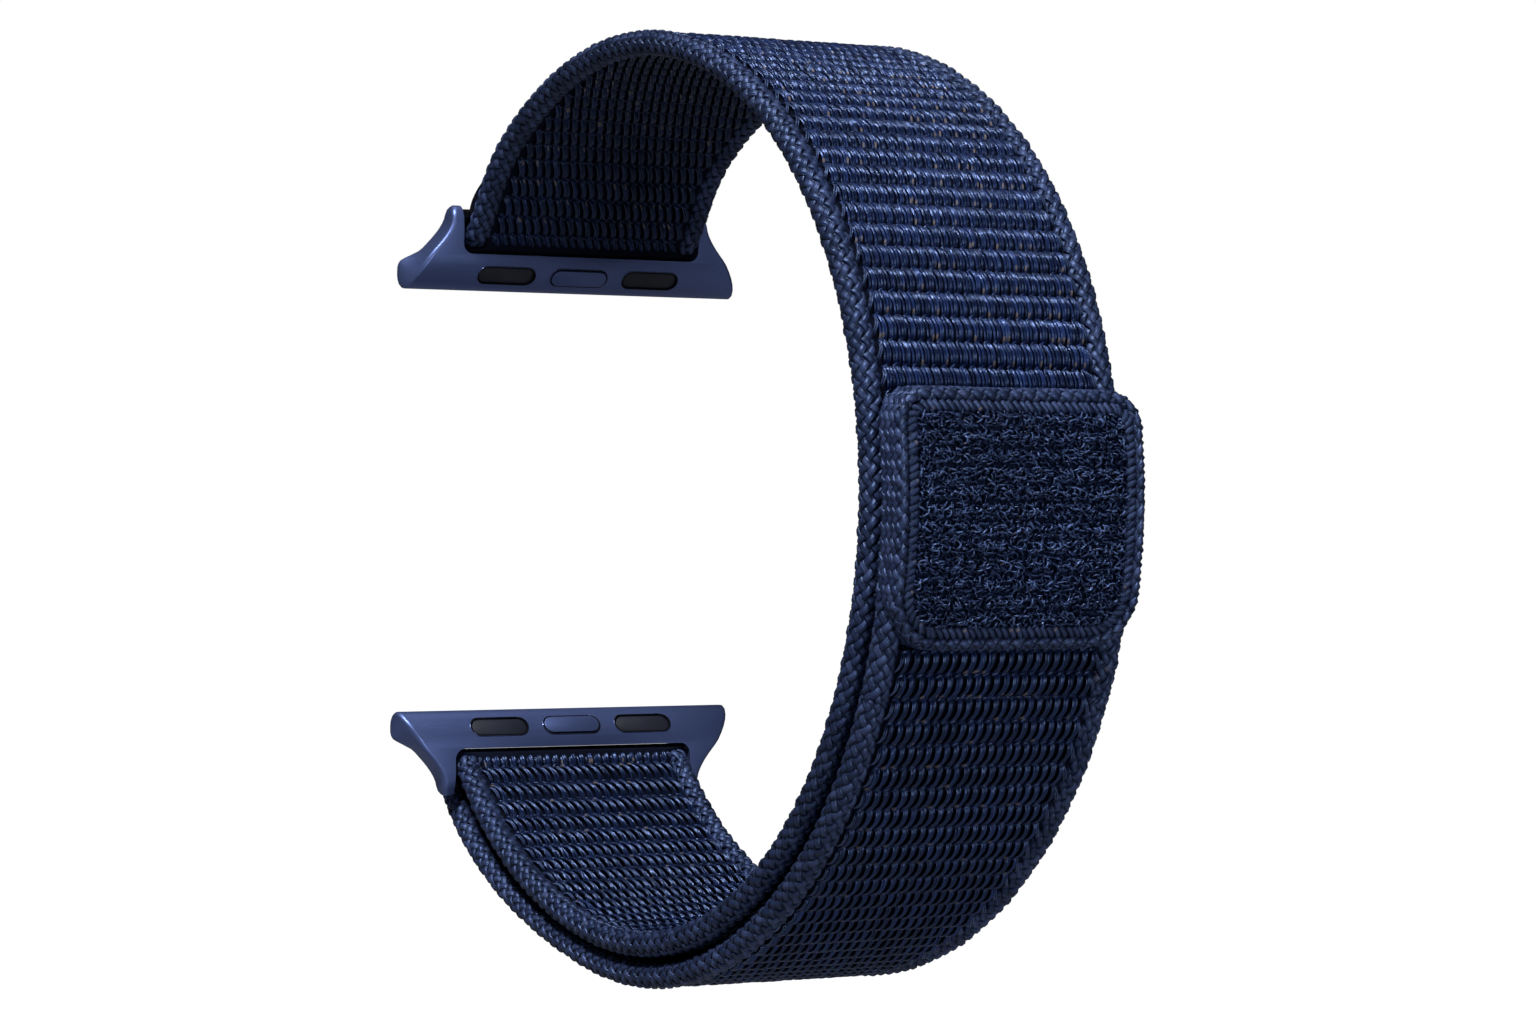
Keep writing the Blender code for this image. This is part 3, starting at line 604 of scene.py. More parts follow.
class Route:
    """Lays out every strip of the band from the loop and the two bars."""

    steps: ClassVar[int] = 400
    arc_steps: ClassVar[int] = 100

    def __init__(self, sizes: BandSizes, leans: Leans, centre: np.ndarray) -> None:
        """Places the bars and the tab's ends.

        Args:
            sizes: the band's sizes.
            leans: the lean of each face's strands.
            centre: the loop's middle, in X and Z.
        """
        self.sizes = sizes
        self.leans = leans
        self.loop = Loop(sizes, centre)
        self.upper_bar = self.loop.point(np.array(sizes.upper_bar), sizes.end_spread)
        self.lower_bar = self.loop.point(np.array(sizes.lower_bar), sizes.end_spread + sizes.fold_radius)
        self.tab_edge = self.loop.after(sizes.tab_middle, -sizes.tab_length / 2, sizes.layer_step)
        self.bend = self.loop.after(self.tab_edge, -sizes.tab_flex, sizes.layer_step)

    def along(self, start: float, end: float) -> np.ndarray:
        """Angles from start to end."""
        return np.linspace(start, end, self.steps)

    def face(self, angles: np.ndarray, offset: np.ndarray, side: int) -> Lane:
        """A lane on the loop.

        Args:
            angles: its angles.
            offset: its distance out of the loop at each.
            side: 1 where it looks out of the loop and -1 where it looks in.

        Returns:
            The lane, its normals square to it.
        """
        points = self.loop.point(angles, offset)
        ahead = np.gradient(points, axis=0)
        normals = unit(np.stack([ahead[:, 1], -ahead[:, 0]], axis=-1))
        sign = np.sign(np.sum(normals * self.loop.normal(angles), axis=-1))
        return Lane(points, normals * sign[:, None] * side)

    def arc(self, centre: np.ndarray, first: np.ndarray, turn: float, radius: float, side: int = 1) -> Lane:
        """A lane on an arc.

        Args:
            centre: the arc's centre.
            first: the direction from there to its start.
            turn: how far it turns.
            radius: its radius.
            side: 1 where it looks away from the centre.

        Returns:
            The lane.
        """
        normals = turned(first, np.linspace(0.0, turn, self.arc_steps))
        return Lane(centre + normals * radius, normals * side)

    def plain(self, name: str, start: float, end: float, layer: Layer, lean: float, inner_lean: float) -> Strip:
        """A strip that follows the loop.

        Args:
            name: its name.
            start: the angle it starts at.
            end: the angle it ends at.
            layer: its layer.
            lean: how much the yarn of its outer face leans.
            inner_lean: how much the yarn of its inner face leans.

        Returns:
            The strip.
        """
        sizes = self.sizes
        angles = self.along(start, end)
        offset = self.loop.inner(angles) if layer is Layer.INNER else self.loop.outer(angles)
        width = np.full(self.steps, sizes.half_width)
        if layer is Layer.OUTER:
            bar = self.loop.reach_at(sizes.lower_bar)
            tapered = (self.loop.reach_at(angles) - bar) / sizes.tail_taper
            tapered = tapered * (sizes.half_depth + sizes.layer_step) / sizes.half_depth
            width -= sizes.tail_narrowing * smooth(tapered)
        lanes = (
            self.face(angles, offset + sizes.web_half, 1),
            self.face(angles, offset - sizes.web_half, -1),
            self.face(angles, offset, 1),
        )
        return Strip(name, *lanes, width, lean, inner_lean)

    def fold(self) -> Strip:
        """Lays out the half turn round the lower bar.

        Returns:
            The strip.
        """
        sizes = self.sizes
        first = -self.loop.normal(np.array(sizes.lower_bar))
        arcs = [
            self.arc(self.lower_bar, first, math.pi, sizes.fold_radius + lift, side)
            for lift, side in ((sizes.web_half, 1), (-sizes.web_half, -1), (0.0, 1))
        ]
        width = np.full(self.steps, sizes.half_width)
        return Strip("fold", *arcs, width, self.leans.fold, self.leans.inner)

    def upper(self) -> list[Lane]:
        """Lays out the upper end's faces: out to the bar, round its eye and back along the inside.

        Returns:
            The outer face, the eye and the inner face.
        """
        sizes = self.sizes
        angles = self.along(sizes.flex_start, sizes.upper_bar)
        swell = self.loop.near(angles, sizes.upper_bar, sizes.upper_neck)
        half = sizes.web_half + (sizes.eye_radius - sizes.web_half) * swell
        offset = self.loop.inner(angles)
        outer = self.face(angles, offset + half, 1)
        inner = self.face(angles, offset - half, -1)
        first = self.loop.normal(np.array(sizes.upper_bar))
        eye = self.arc(self.upper_bar, first, math.pi, sizes.eye_radius)
        return [outer, eye, inner.turned()]

    def upper_cord(self) -> Lane:
        """Lays out the middle of the upper end's cords, which hook round the bar.

        Returns:
            The lane.
        """
        sizes = self.sizes
        angles = self.along(sizes.flex_start, sizes.upper_bar)
        drawn = sizes.fold_radius * self.loop.near(angles, sizes.upper_bar, sizes.upper_neck)
        run = self.face(angles, self.loop.inner(angles) - drawn, 1)
        first = -self.loop.normal(np.array(sizes.upper_bar))
        return run.joined(self.arc(self.upper_bar, first, -sizes.upper_hook, sizes.fold_radius, -1))


@dataclass(frozen=True)
class RowYarn:
    """The sizes of the yarn that arches over each row of the band, and of the humps between the rows."""

    pitch: float = 1.77 * MM
    bundle: float = 0.715 * MM
    strands: int = 3
    spacing: float = 0.168 * MM
    half_width: float = 0.096 * MM
    half_thickness: float = 0.115 * MM
    dip: float = 0.76 * MM
    overlap: float = 0.01
    points: int = 8
    sides: int = 5
    wander: float = 0.030 * MM
    sway: float = 0.5
    bow: float = 0.40
    arch_power: float = 0.9
    side_drop: float = 0.10
    outer_drop: float = 0.06
    upright: float = 0.01
    hump_points: int = 5
    hump_sides: int = 4
    hump_radius: float = 0.115 * MM
    hump_depth: float = 0.42 * MM
    hump_run: float = 0.10
    hump_reach: float = 0.42
    hump_fall: float = 0.9
    hump_sway: float = 0.6
    hump_tint: float = 0.8

    def rows(self, lane: Lane) -> int:
        """How many rows fit on a lane."""
        return max(1, round(lane.length / self.pitch))

    def layout(self, lane: Lane, width: np.ndarray) -> tuple[int, float, float, int]:
        """Divides a face into rows and bundles.

        Args:
            lane: the face.
            width: half the web's width at even steps of the lane.

        Returns:
            How many rows it has, their pitch, its greatest half width, and the bundles across it.
        """
        rows = self.rows(lane)
        nominal = float(width.max())
        return rows, lane.length / rows, nominal, round(2 * nominal / self.bundle)

    def lay(self, tubes: Tubes, lane: Lane, width: np.ndarray, lean: float, seed: int, span: tuple) -> None:
        """Lays the strands of a lane's rows.

        Args:
            tubes: what they are added to.
            lane: the face, at the rows' crests.
            width: half the web's width at even steps of the lane.
            lean: how far each strand leans across the band, in strand spacings.
            seed: the number that its chances start from.
            span: the share of the rows to start at and to end at.
        """
        chance = np.random.default_rng(seed)
        rows, pitch, nominal, bundles = self.layout(lane, width)
        row, bundle, strand = grid(rows, bundles, self.strands)
        count = len(row)
        share = (0.5 - 0.5 * np.cos(math.pi * np.linspace(0.0, 1.0, self.points)))[None, :]
        stretch = 1 + 2 * self.overlap
        along = (row[:, None] + share * stretch - self.overlap) * pitch
        along = along + chance.normal(0.0, self.wander, (count, 1))
        arch = np.sqrt(np.maximum(1 - (2 * share - 1) ** 2, 0.0)) ** self.arch_power
        middle = (bundle + 0.5) / bundles * 2 - 1
        centre = (strand - (self.strands - 1) / 2)[:, None]
        across = middle[:, None] * nominal + centre * self.spacing
        bow = self.bow * np.sin(math.pi * share) * np.sign(lean)
        across = across + lean * self.spacing * ((share - 0.5) * 2 + bow)
        across = across + chance.normal(0.0, self.wander * self.sway, (count, 1))
        crown = 1 - self.side_drop * centre * np.sign(lean + self.upright) - self.outer_drop * np.abs(centre)
        lift = chance.normal(0.0, self.wander * self.sway, (count, 1))
        height = -self.half_thickness - self.dip * (1 - arch * crown) + lift
        across = across * read(along / lane.length, width) / nominal
        along = np.clip(along, 0.0, lane.length)
        tint = chance.random(count)
        kept = (row >= round(span[0] * rows)) & (row < round(span[1] * rows))
        along, across, height = along[kept], across[kept], height[kept]
        centres = lane.place(along, across, height)
        tubes.add(centres, lane.normal(along), self.half_width, self.half_thickness, tint[kept], self.sides)

    def cross(self, tubes: Tubes, lane: Lane, width: np.ndarray, seed: int, span: tuple) -> None:
        """Lays the humps of the crossing yarn in the valleys between the rows.

        Args:
            tubes: what they are added to.
            lane: the face, at the rows' crests.
            width: half the web's width at even steps of the lane.
            seed: the number that its chances start from.
            span: the share of the rows to start at and to end at.
        """
        chance = np.random.default_rng(seed)
        rows, pitch, nominal, bundles = self.layout(lane, width)
        row, bundle = grid(rows + 1, bundles)
        count = len(row)
        share = np.linspace(-1.0, 1.0, self.hump_points)[None, :]
        along = row[:, None] * pitch + share * self.hump_run * pitch
        along = np.clip(along + chance.normal(0, self.wander, (count, 1)), 0, lane.length)
        middle = (bundle[:, None] + 0.5) / bundles * 2 - 1
        across = middle * nominal + share * self.bundle * self.hump_reach
        height = -self.hump_depth - self.hump_fall * self.hump_radius * share**2
        height = height + chance.normal(0, self.wander * self.hump_sway, (count, 1))
        across = across * read(along / lane.length, width) / nominal
        tint = chance.random(count) * self.hump_tint
        kept = (row >= round(span[0] * rows)) & (row < round(span[1] * rows) + (span[1] == 1.0))
        along, across, height = along[kept], across[kept], height[kept]
        centres = lane.place(along, across, height)
        tubes.add(centres, lane.normal(along), self.hump_radius, self.hump_radius, tint[kept], self.hump_sides)


@dataclass(frozen=True)
class EdgeStitch:
    """The sizes of the double stitches that join the web to its cords."""

    spread: float = 0.15 * MM
    half_width: float = 0.065 * MM
    reach_in: float = 0.16 * MM
    reach_out: float = 0.30 * MM
    sink: float = 0.10 * MM
    dive: float = 0.38 * MM
    slant: float = 1.35 * MM
    threads: int = 2
    points: int = 6
    sides: int = 4
    tint: tuple[float, float] = (0.55, 0.3)

    def sew(self, tubes: Tubes, strip: Strip, lane: Lane, yarn: RowYarn, web_gap: float, seed: int) -> None:
        """Sews one face's stitches along both edges.

        Args:
            tubes: what they are added to.
            strip: the strip.
            lane: the face.
            yarn: the yarn of its rows.
            web_gap: how far the web's edge lies in from the band's edge.
            seed: the number that its chances start from.
        """
        chance = np.random.default_rng(seed)
        rows = yarn.rows(lane)
        pitch = lane.length / rows
        for edge in Edge:
            row, thread = grid(rows, self.threads)
            share = np.linspace(0.0, 1.0, self.points)[None, :]
            along = (row[:, None] + 0.5) * pitch + (0.5 - share) * self.slant
            along = np.clip(along + chance.normal(0, yarn.wander, (len(row), 1)), 0.0, lane.length)
            web = strip.width(along, lane) - web_gap
            reach = share * (self.reach_in + self.reach_out) + (thread[:, None] - 0.5) * self.spread
            across = edge.value * (web - self.reach_in + reach)
            height = -self.sink - self.dive * (2 * share - 1) ** 2
            tint = self.tint[0] + self.tint[1] * chance.random(len(row))
            centres = lane.place(along, across, height)
            tubes.add(centres, lane.normal(along), self.half_width, self.half_width, tint, self.sides)


@dataclass(frozen=True)
class BraidSizes:
    """The sizes of a braid round a core: its flat carriers each way, and how far they wind."""

    carriers: int = 6
    lead: float = 6.6 * MM
    half_width: float = 0.285 * MM
    thickness: float = 0.135 * MM
    wave: float = 0.12 * MM
    step: float = 0.18 * MM
    wander: float = 0.02 * MM
    probe: float = 0.1 * MM
    least_points: int = 6
    sides: int = 6
    tint: tuple[float, float] = (0.15, 0.75)

    def wind(self, tubes: Tubes, place: Place, length: float, seed: int, closed: bool = False) -> None:
        """Winds the braid.

        Args:
            tubes: what its strands are added to.
            place: turns a distance along, a share round and a height into a point in space.
            length: the core's length.
            seed: the number that its chances start from.
            closed: whether the core is a ring.
        """
        chance = np.random.default_rng(seed)
        turns = length / self.lead
        if closed:
            turns = max(1, round(turns))
        lead = length / turns
        points = max(self.least_points, int(length / self.step))
        along = np.linspace(0.0, length, points)
        number = np.arange(self.carriers)
        for way in Wind:
            around = way.value * along[None, :] / lead + number[:, None] / self.carriers
            crossing = 2 * self.carriers * along[None, :] / lead
            height = way.value * self.wave * np.cos(math.pi * crossing)
            height = height + chance.normal(0, self.wander, (len(number), 1))
            runs = np.broadcast_to(along, around.shape)
            centres = place(runs, around, height)
            upward = place(runs, around, height + self.probe) - centres
            tint = self.tint[0] + self.tint[1] * chance.random(len(number))
            tubes.add(centres, upward, self.half_width, self.thickness, tint, self.sides)


@dataclass(frozen=True)
class Outline:
    """A rounded box outline in a plane, read by the share of the way round it."""

    half_width: float
    half_height: float
    low_radius: float
    high_radius: float
    corner_points: int = 16

    def table(self) -> tuple[np.ndarray, np.ndarray, np.ndarray, float]:
        """Measures the outline.

        Returns:
            Its points' shares of the way round, the points, their outward normals and the way round.
        """
        points, normals = [], []
        low, high = self.low_radius, self.high_radius
        for quarter, (right, up, radius) in enumerate(((1, 1, high), (-1, 1, high), (-1, -1, low), (1, -1, low))):
            centre = np.array([right * (self.half_width - radius), up * (self.half_height - radius)])
            angles = math.pi / 2 * (quarter + np.linspace(0.0, 1.0, self.corner_points))
            ways = np.stack([np.cos(angles), np.sin(angles)], axis=-1)
            points.append(centre + ways * radius)
            normals.append(ways)
        ring = np.concatenate(points + [points[0][:1]])
        ways = np.concatenate(normals + [normals[0][:1]])
        reach = reaches(ring)
        return reach / reach[-1], ring, ways, float(reach[-1])

    def at(self, share: np.ndarray) -> tuple[np.ndarray, np.ndarray]:
        """Reads the outline.

        Args:
            share: shares of the way round.

        Returns:
            The points there and their outward normals.
        """
        shares, ring, ways, _ = self.table()
        share = np.asarray(share) % 1.0
        point, way = (
            np.stack([np.interp(share, shares, values[:, i]) for i in range(2)], axis=-1) for values in (ring, ways)
        )
        return point, unit(way)

    @property
    def length(self) -> float:
        """The way round."""
        return self.table()[3]

    def half_at(self, up: np.ndarray) -> np.ndarray:
        """Half the outline's width.

        Args:
            up: heights over its middle.

        Returns:
            The half width at each.
        """
        low = np.clip((-self.half_height + self.low_radius) - up, 0.0, self.low_radius)
        high = np.clip(up - (self.half_height - self.high_radius), 0.0, self.high_radius)
        cut_low = self.low_radius - np.sqrt(np.maximum(self.low_radius**2 - low**2, 0.0))
        cut_high = self.high_radius - np.sqrt(np.maximum(self.high_radius**2 - high**2, 0.0))
        return self.half_width - cut_low - cut_high


class TabPlace:
    """Turns a place on the tab's plane and an offset from the loop's middle into a point in space."""

    tries: ClassVar[int] = 7

    def __init__(self, loop: Loop, angle: float) -> None:
        """Sets the plane up.

        Args:
            loop: the band's loop.
            angle: the tab's middle on it.
        """
        self.loop = loop
        self.angle = angle
        out = loop.normal(np.array(angle))
        self.up = np.array([-out[1], out[0]])
        self.middle = loop.point(np.array(angle), 0.0)

    def angle_at(self, along: np.ndarray, offset: np.ndarray) -> np.ndarray:
        """Finds places on the loop.

        Args:
            along: distances up the tab's plane from its middle.
            offset: distances out from the loop's middle surface.

        Returns:
            The loop's angle at each.
        """
        angle = np.full(np.shape(along), self.angle)
        for _ in range(self.tries):
            up = (self.loop.point(angle, offset) - self.middle) @ self.up
            angle = angle + (along - up) / (self.loop.sizes.half_height + offset)
        return angle

    def place(self, along: np.ndarray, across: np.ndarray, offset: np.ndarray) -> np.ndarray:
        """Points in space.

        Args:
            along: distances up the tab's plane from its middle.
            across: distances along Y.
            offset: distances out from the loop's middle surface.

        Returns:
            The points, in a last axis of 3.
        """
        along, across, offset = np.broadcast_arrays(along, across, offset)
        at = self.loop.point(self.angle_at(along, offset), offset)
        return np.stack([at[..., 0], across, at[..., 1]], axis=-1)

    def normal(self, along: np.ndarray, offset: np.ndarray) -> np.ndarray:
        """Directions out of the loop.

        Args:
            along: distances up the tab's plane from its middle.
            offset: distances out from the loop's middle surface.

        Returns:
            Unit vectors, in a last axis of 3.
        """
        along, offset = np.broadcast_arrays(along, offset)
        at = self.loop.normal(self.angle_at(along, offset))
        return np.stack([at[..., 0], np.zeros_like(at[..., 0]), at[..., 1]], axis=-1)


@dataclass(frozen=True)
class Ground:
    """The dark ground under the yarn of a strip: the web's core, in a near-black that is painted shade for the deep
    gaps between the strands and for the strip beside a slot's wall.
    """

    sink: float = 0.46 * MM
    valley: float = 0.16 * MM
    per_row: int = 6
    edge_half: float = 0.40 * MM
    edge_reach: float = 0.80 * MM
    fill_rise: float = 0.235 * MM
    fill_reach: float = 1.0 * MM
    fill_half_width: float = 9.85 * MM

    def fill(self, along: np.ndarray, wall: float | None) -> np.ndarray:
        """How far the band is pressed out against a lug's slot wall, as a share.

        Args:
            along: distances along a face.
            wall: where the wall lies on it, or None.

        Returns:
            1 at the wall and 0 away from it.
        """
        if wall is None:
            return np.zeros_like(along)
        return smooth(2.0 - np.abs(along - wall) / self.fill_reach)

    def weave(self, name: str, strip: Strip, yarn: RowYarn, web_gap: float, wall: float | None) -> bpy.types.Object:
        """Makes the ground between a strip's two faces.

        Args:
            name: the object's name.
            strip: the strip.
            yarn: the yarn of its rows.
            web_gap: how far the web's edge lies in from the band's edge.
            wall: where a slot's wall lies, as a share of the outer face, or None.

        Returns:
            A new object.
        """
        rows = yarn.rows(strip.outer)
        share = np.linspace(0.0, 1.0, rows * self.per_row + 1)
        fill = self.fill(share * strip.outer.length, None if wall is None else wall * strip.outer.length)
        dip = self.sink + self.valley * (1 - np.abs(np.sin(math.pi * share * rows)))
        lows = strip.inner.place(share * strip.inner.length, 0.0, -dip)
        tops = strip.outer.place(share * strip.outer.length, 0.0, self.fill_rise * fill - dip * (1 - fill))
        out = strip.middle.normal(share * strip.middle.length)
        mids = strip.middle.place(share * strip.middle.length, 0.0, 0.0)
        width = read(share, strip.half_width) - web_gap
        wide = np.maximum(width, self.fill_half_width * fill)
        corners = []
        for side, level in ((-1, 1), (1, 1), (1, -1), (-1, -1)):
            inner = (tops if level > 0 else lows).copy()
            inner[:, 1] = side * (wide if level > 0 else width)
            outer = mids + out * (self.edge_half * level)
            outer[:, 1] = side * np.minimum(wide + self.edge_reach, self.fill_half_width)
            corners += [outer, inner] if side * level < 0 else [inner, outer]
        return plate(name, np.stack(corners, axis=1))


@dataclass(frozen=True)
class EdgeCords:
    """The two braided cords on a strip's edges."""

    sizes: BandSizes
    braid: BraidSizes = field(default_factory=BraidSizes)
    core_share: float = 0.80
    core_step: float = 0.7 * MM
    core_least: int = 4
    core_sides: int = 12
    core_tint: float = 0.05

    def make(self, name: str, lane: Lane, strip_width: np.ndarray, edge: Edge, seed: int) -> bpy.types.Object:
        """Makes one cord.

        Args:
            name: the object's name.
            lane: the cord's middle line.
            strip_width: half the band's width at even steps along it.
            edge: the edge it runs on.
            seed: the number that its chances start from.

        Returns:
            A new object.
        """
        tubes = Tubes(name)
        radius = self.sizes.cord_radius
        ground = radius - self.braid.thickness - self.braid.wave

        def place(along: np.ndarray, around: np.ndarray, height: np.ndarray) -> np.ndarray:
            """Points round the cord's middle.

            Args:
                along: distances along it.
                around: shares of the way round it.
                height: heights over its ground.

            Returns:
                The points, in a last axis of 3.
            """
            width = read(along / lane.length, strip_width)
            turn = 2 * math.pi * around * edge.value
            out = (ground + height) * np.cos(turn)
            across = edge.value * (width - radius) + (ground + height) * np.sin(turn)
            return lane.place(along, across, out)

        self.braid.wind(tubes, place, lane.length, seed)
        count = max(self.core_least, int(lane.length / self.core_step))
        along = np.linspace(0.0, lane.length, count)[None, :]
        width = read(along / lane.length, strip_width)
        middle = lane.place(along, edge.value * (width - radius), np.zeros_like(along))
        core = radius * self.core_share
        tubes.add(middle, lane.normal(along), core, core, np.array([self.core_tint]), self.core_sides)
        return tubes.build()


@dataclass(frozen=True)
class FlangeSizes:
    """The sizes of the stitched flange between the tab's rim and its pile."""

    inset: float = 1.22 * MM
    half: float = 0.34 * MM
    level: float = 3.92 * MM
    core_half: float = 0.22 * MM
    core_round: float = 0.12 * MM
    core_sink: float = 0.24 * MM
    core_corner: int = 4
    core_sides: int = 8
    core_tint: float = 0.2
    pitch: float = 0.50 * MM
    radius: float = 0.21 * MM
    flatness: float = 0.55
    slant: float = 0.22 * MM
    drift: float = 0.045 * MM
    margin: float = 0.03 * MM
    crown: float = 0.10 * MM
    roughness: float = 0.012 * MM
    points: int = 6
    sides: int = 6
    tint: tuple[float, float] = (0.35, 0.6)


@dataclass(frozen=True)
class PileSizes:
    """The sizes of the tab's rows of curled loops."""

    inset: float = 1.5 * MM
    level: float = 3.55 * MM
    sink: float = 0.06 * MM
    margin: float = 0.1 * MM
    row_pitch: float = 1.13 * MM
    loop_pitch: float = 0.26 * MM
    twins: int = 4
    twin_step: float = 0.215
    row_drift: float = 0.05 * MM
    loop_drift: float = 0.09 * MM
    turn_drift: float = 0.6
    crossed: float = 0.2
    radius: float = 0.062 * MM
    width: float = 0.21 * MM
    width_range: tuple[float, float] = (0.75, 0.5)
    height: float = 0.58 * MM
    height_range: tuple[float, float] = (0.70, 0.45)
    outer_height: float = 0.72
    arc: float = 0.74
    flare: float = 0.25
    lean: float = 0.25
    curl: float = 0.14 * MM
    points: int = 8
    sides: int = 4


@dataclass(frozen=True)
class HookSizes:
    """The sizes of the hooks on the tab's inside: each bends sideways as it drops from the tape."""

    level: float = 1.46 * MM
    pitch: float = 0.72 * MM
    inset: float = 0.3 * MM
    margin: float = 0.2 * MM
    bend: tuple[float, ...] = (0.0, 0.0, 0.0, 0.05, 0.13, 0.19)
    drop: tuple[float, ...] = (0.0, 0.10, 0.17, 0.23, 0.23, 0.17)
    half_width: float = 0.05 * MM
    half_thickness: float = 0.06 * MM
    sides: int = 5
    tint: float = 0.4


@dataclass(frozen=True)
class Tab:
    """The fastening tab: its braided rim, stitches, curled loops, hooks and the band's end inside it."""

    slab_rows: ClassVar[int] = 41
    slab_columns: ClassVar[int] = 13
    slab_reach: ClassVar[float] = 0.9995
    ring_points: ClassVar[int] = 180

    sizes: BandSizes
    spot: TabPlace
    half_width: float = 9.55 * MM
    least_half: float = 0.2 * MM
    low_radius: float = 3.8 * MM
    high_radius: float = 2.4 * MM
    low: float = 1.3 * MM
    high: float = 4.15 * MM
    rim_half: float = 0.50 * MM
    rim_round: float = 0.46 * MM
    rim_gap: float = 0.02 * MM
    rim_corner: float = 0.7
    rim_points: int = 8
    rim_sides: int = 12
    rim_tint: float = 0.05
    back_spread: float = 0.2 * MM
    back_low: float = 3.1 * MM
    inner_inset: float = 0.95 * MM
    tape_high: float = 1.75 * MM
    filling_low: float = 1.8 * MM
    filling_high: float = 3.05 * MM
    flange: FlangeSizes = field(default_factory=FlangeSizes)
    loops: PileSizes = field(default_factory=PileSizes)
    hook: HookSizes = field(default_factory=HookSizes)
    braid: BraidSizes = field(
        default_factory=lambda: BraidSizes(
            carriers=8, lead=7.8 * MM, half_width=0.30 * MM, thickness=0.14 * MM, wave=0.13 * MM, step=0.24 * MM
        )
    )

    def outline(self, inset: float) -> Outline:
        """The tab's outline, taken in all round."""
        half = self.sizes.tab_length / 2
        return Outline(self.half_width - inset, half - inset, self.low_radius - inset, self.high_radius - inset)

    def slab(self, name: str, inset: float, low: float, high: float) -> bpy.types.Object:
        """Makes a plate with the tab's outline.

        Args:
            name: the object's name.
            inset: how far its outline is taken in.
            low: the offset of its underside.
            high: the offset of its top.

        Returns:
            A new object.
        """
        shape = self.outline(inset)
        share = np.sin(np.linspace(-math.pi / 2, math.pi / 2, self.slab_rows)) * self.slab_reach
        along = share * shape.half_height
        half = np.maximum(shape.half_at(along), self.least_half)
        across = np.linspace(-1.0, 1.0, self.slab_columns)
        top = self.spot.place(along[:, None], half[:, None] * across[None, :], high)
        under = self.spot.place(along[:, None], half[:, None] * across[None, ::-1], low)
        return plate(name, np.concatenate([top, under], axis=1))

    def ring_place(self, rim: Outline, profile: Outline, level: float) -> Place:
        """The place function of a ring that runs round the tab.

        Args:
            rim: the ring's middle line.
            profile: its profile, its width in the tab's plane and its height along the offset.
            level: the offset of the profile's middle.

        Returns:
            A function of the way along, the share round the profile and the height over it.
        """
        length = rim.length

        def place(along: np.ndarray, around: np.ndarray, height: np.ndarray) -> np.ndarray:
            """Points on the ring.

            Args:
                along: distances along it.
                around: shares of the way round its profile.
                height: heights over the profile.

            Returns:
                The points, in a last axis of 3.
            """
            along, around, height = np.broadcast_arrays(along, around, height)
            spot, out = rim.at(along / length)
            mark, way = profile.at(around)
            aside = mark[..., 0] + way[..., 0] * height
            lift = mark[..., 1] + way[..., 1] * height
            up, across = spot[..., 1] + out[..., 1] * aside, spot[..., 0] + out[..., 0] * aside
            return self.spot.place(up, across, level + lift)

        return place

    def core(self, tubes: Tubes, place: Place, length: float, sides: int, height: float, tint: float) -> None:
        """Adds the plain core that a ring's yarn lies on.

        Args:
            tubes: what it is added to.
            place: the ring's place function.
            length: the ring's length.
            sides: how many sides it has.
            height: its height over the ring's profile.
            tint: a number from 0 to 1.
        """
        along = np.linspace(0.0, length, self.ring_points)[None, :]
        level = np.full_like(along, height)
        rings = [place(along, np.full_like(along, n / sides), level) for n in range(sides)]
        tubes.add_ring(np.stack(rings, axis=2), tint)

    def rim(self, name: str) -> bpy.types.Object:
        """Makes the braided rim.

        Args:
            name: the object's name.

        Returns:
            A new object.
        """
        tubes = Tubes(name)
        rim = self.outline(self.rim_half + self.rim_gap)
        shrink = self.braid.thickness + self.braid.wave
        half_height = (self.high - self.low) / 2
        corner = (self.rim_round - shrink * 0.5) * self.rim_corner
        profile = Outline(self.rim_half - shrink, half_height - shrink, corner, corner, self.rim_points)
        place = self.ring_place(rim, profile, (self.high + self.low) / 2)
        self.braid.wind(tubes, place, rim.length, Seed.TAB_RIM, closed=True)
        self.core(tubes, place, rim.length, self.rim_sides, self.rim_gap, self.rim_tint)
        return tubes.build()

    def stitches(self, name: str) -> bpy.types.Object:
        """Makes the stitched flange between the rim and the pile.

        Args:
            name: the object's name.

        Returns:
            A new object.
        """
        sizes = self.flange
        tubes = Tubes(name)
        rim = self.outline(sizes.inset)
        profile = Outline(sizes.half, sizes.core_half, sizes.core_round, sizes.core_round, sizes.core_corner)
        place = self.ring_place(rim, profile, sizes.level - sizes.core_sink)
        self.core(tubes, place, rim.length, sizes.core_sides, 0.0, sizes.core_tint)

        chance = np.random.default_rng(Seed.TAB_STITCHES)
        count = int(rim.length / sizes.pitch)
        share = np.linspace(-1.0, 1.0, sizes.points)[None, :]
        start = (np.arange(count) + 0.5)[:, None] * rim.length / count
        run = start + share * sizes.slant + chance.normal(0, sizes.drift, (count, 1))
        spot, out = rim.at(run / rim.length)
        aside = share * (sizes.half - sizes.margin)
        offset = sizes.level - sizes.crown * share**2 + chance.normal(0, sizes.roughness, (count, 1))
        up, across = spot[..., 1] + out[..., 1] * aside, spot[..., 0] + out[..., 0] * aside
        centres = self.spot.place(up, across, offset)
        upward = self.spot.normal(spot[..., 1], offset)
        tint = sizes.tint[0] + sizes.tint[1] * chance.random(count)
        tubes.add(centres, upward, sizes.radius, sizes.radius * sizes.flatness, tint, sizes.sides)
        return tubes.build()

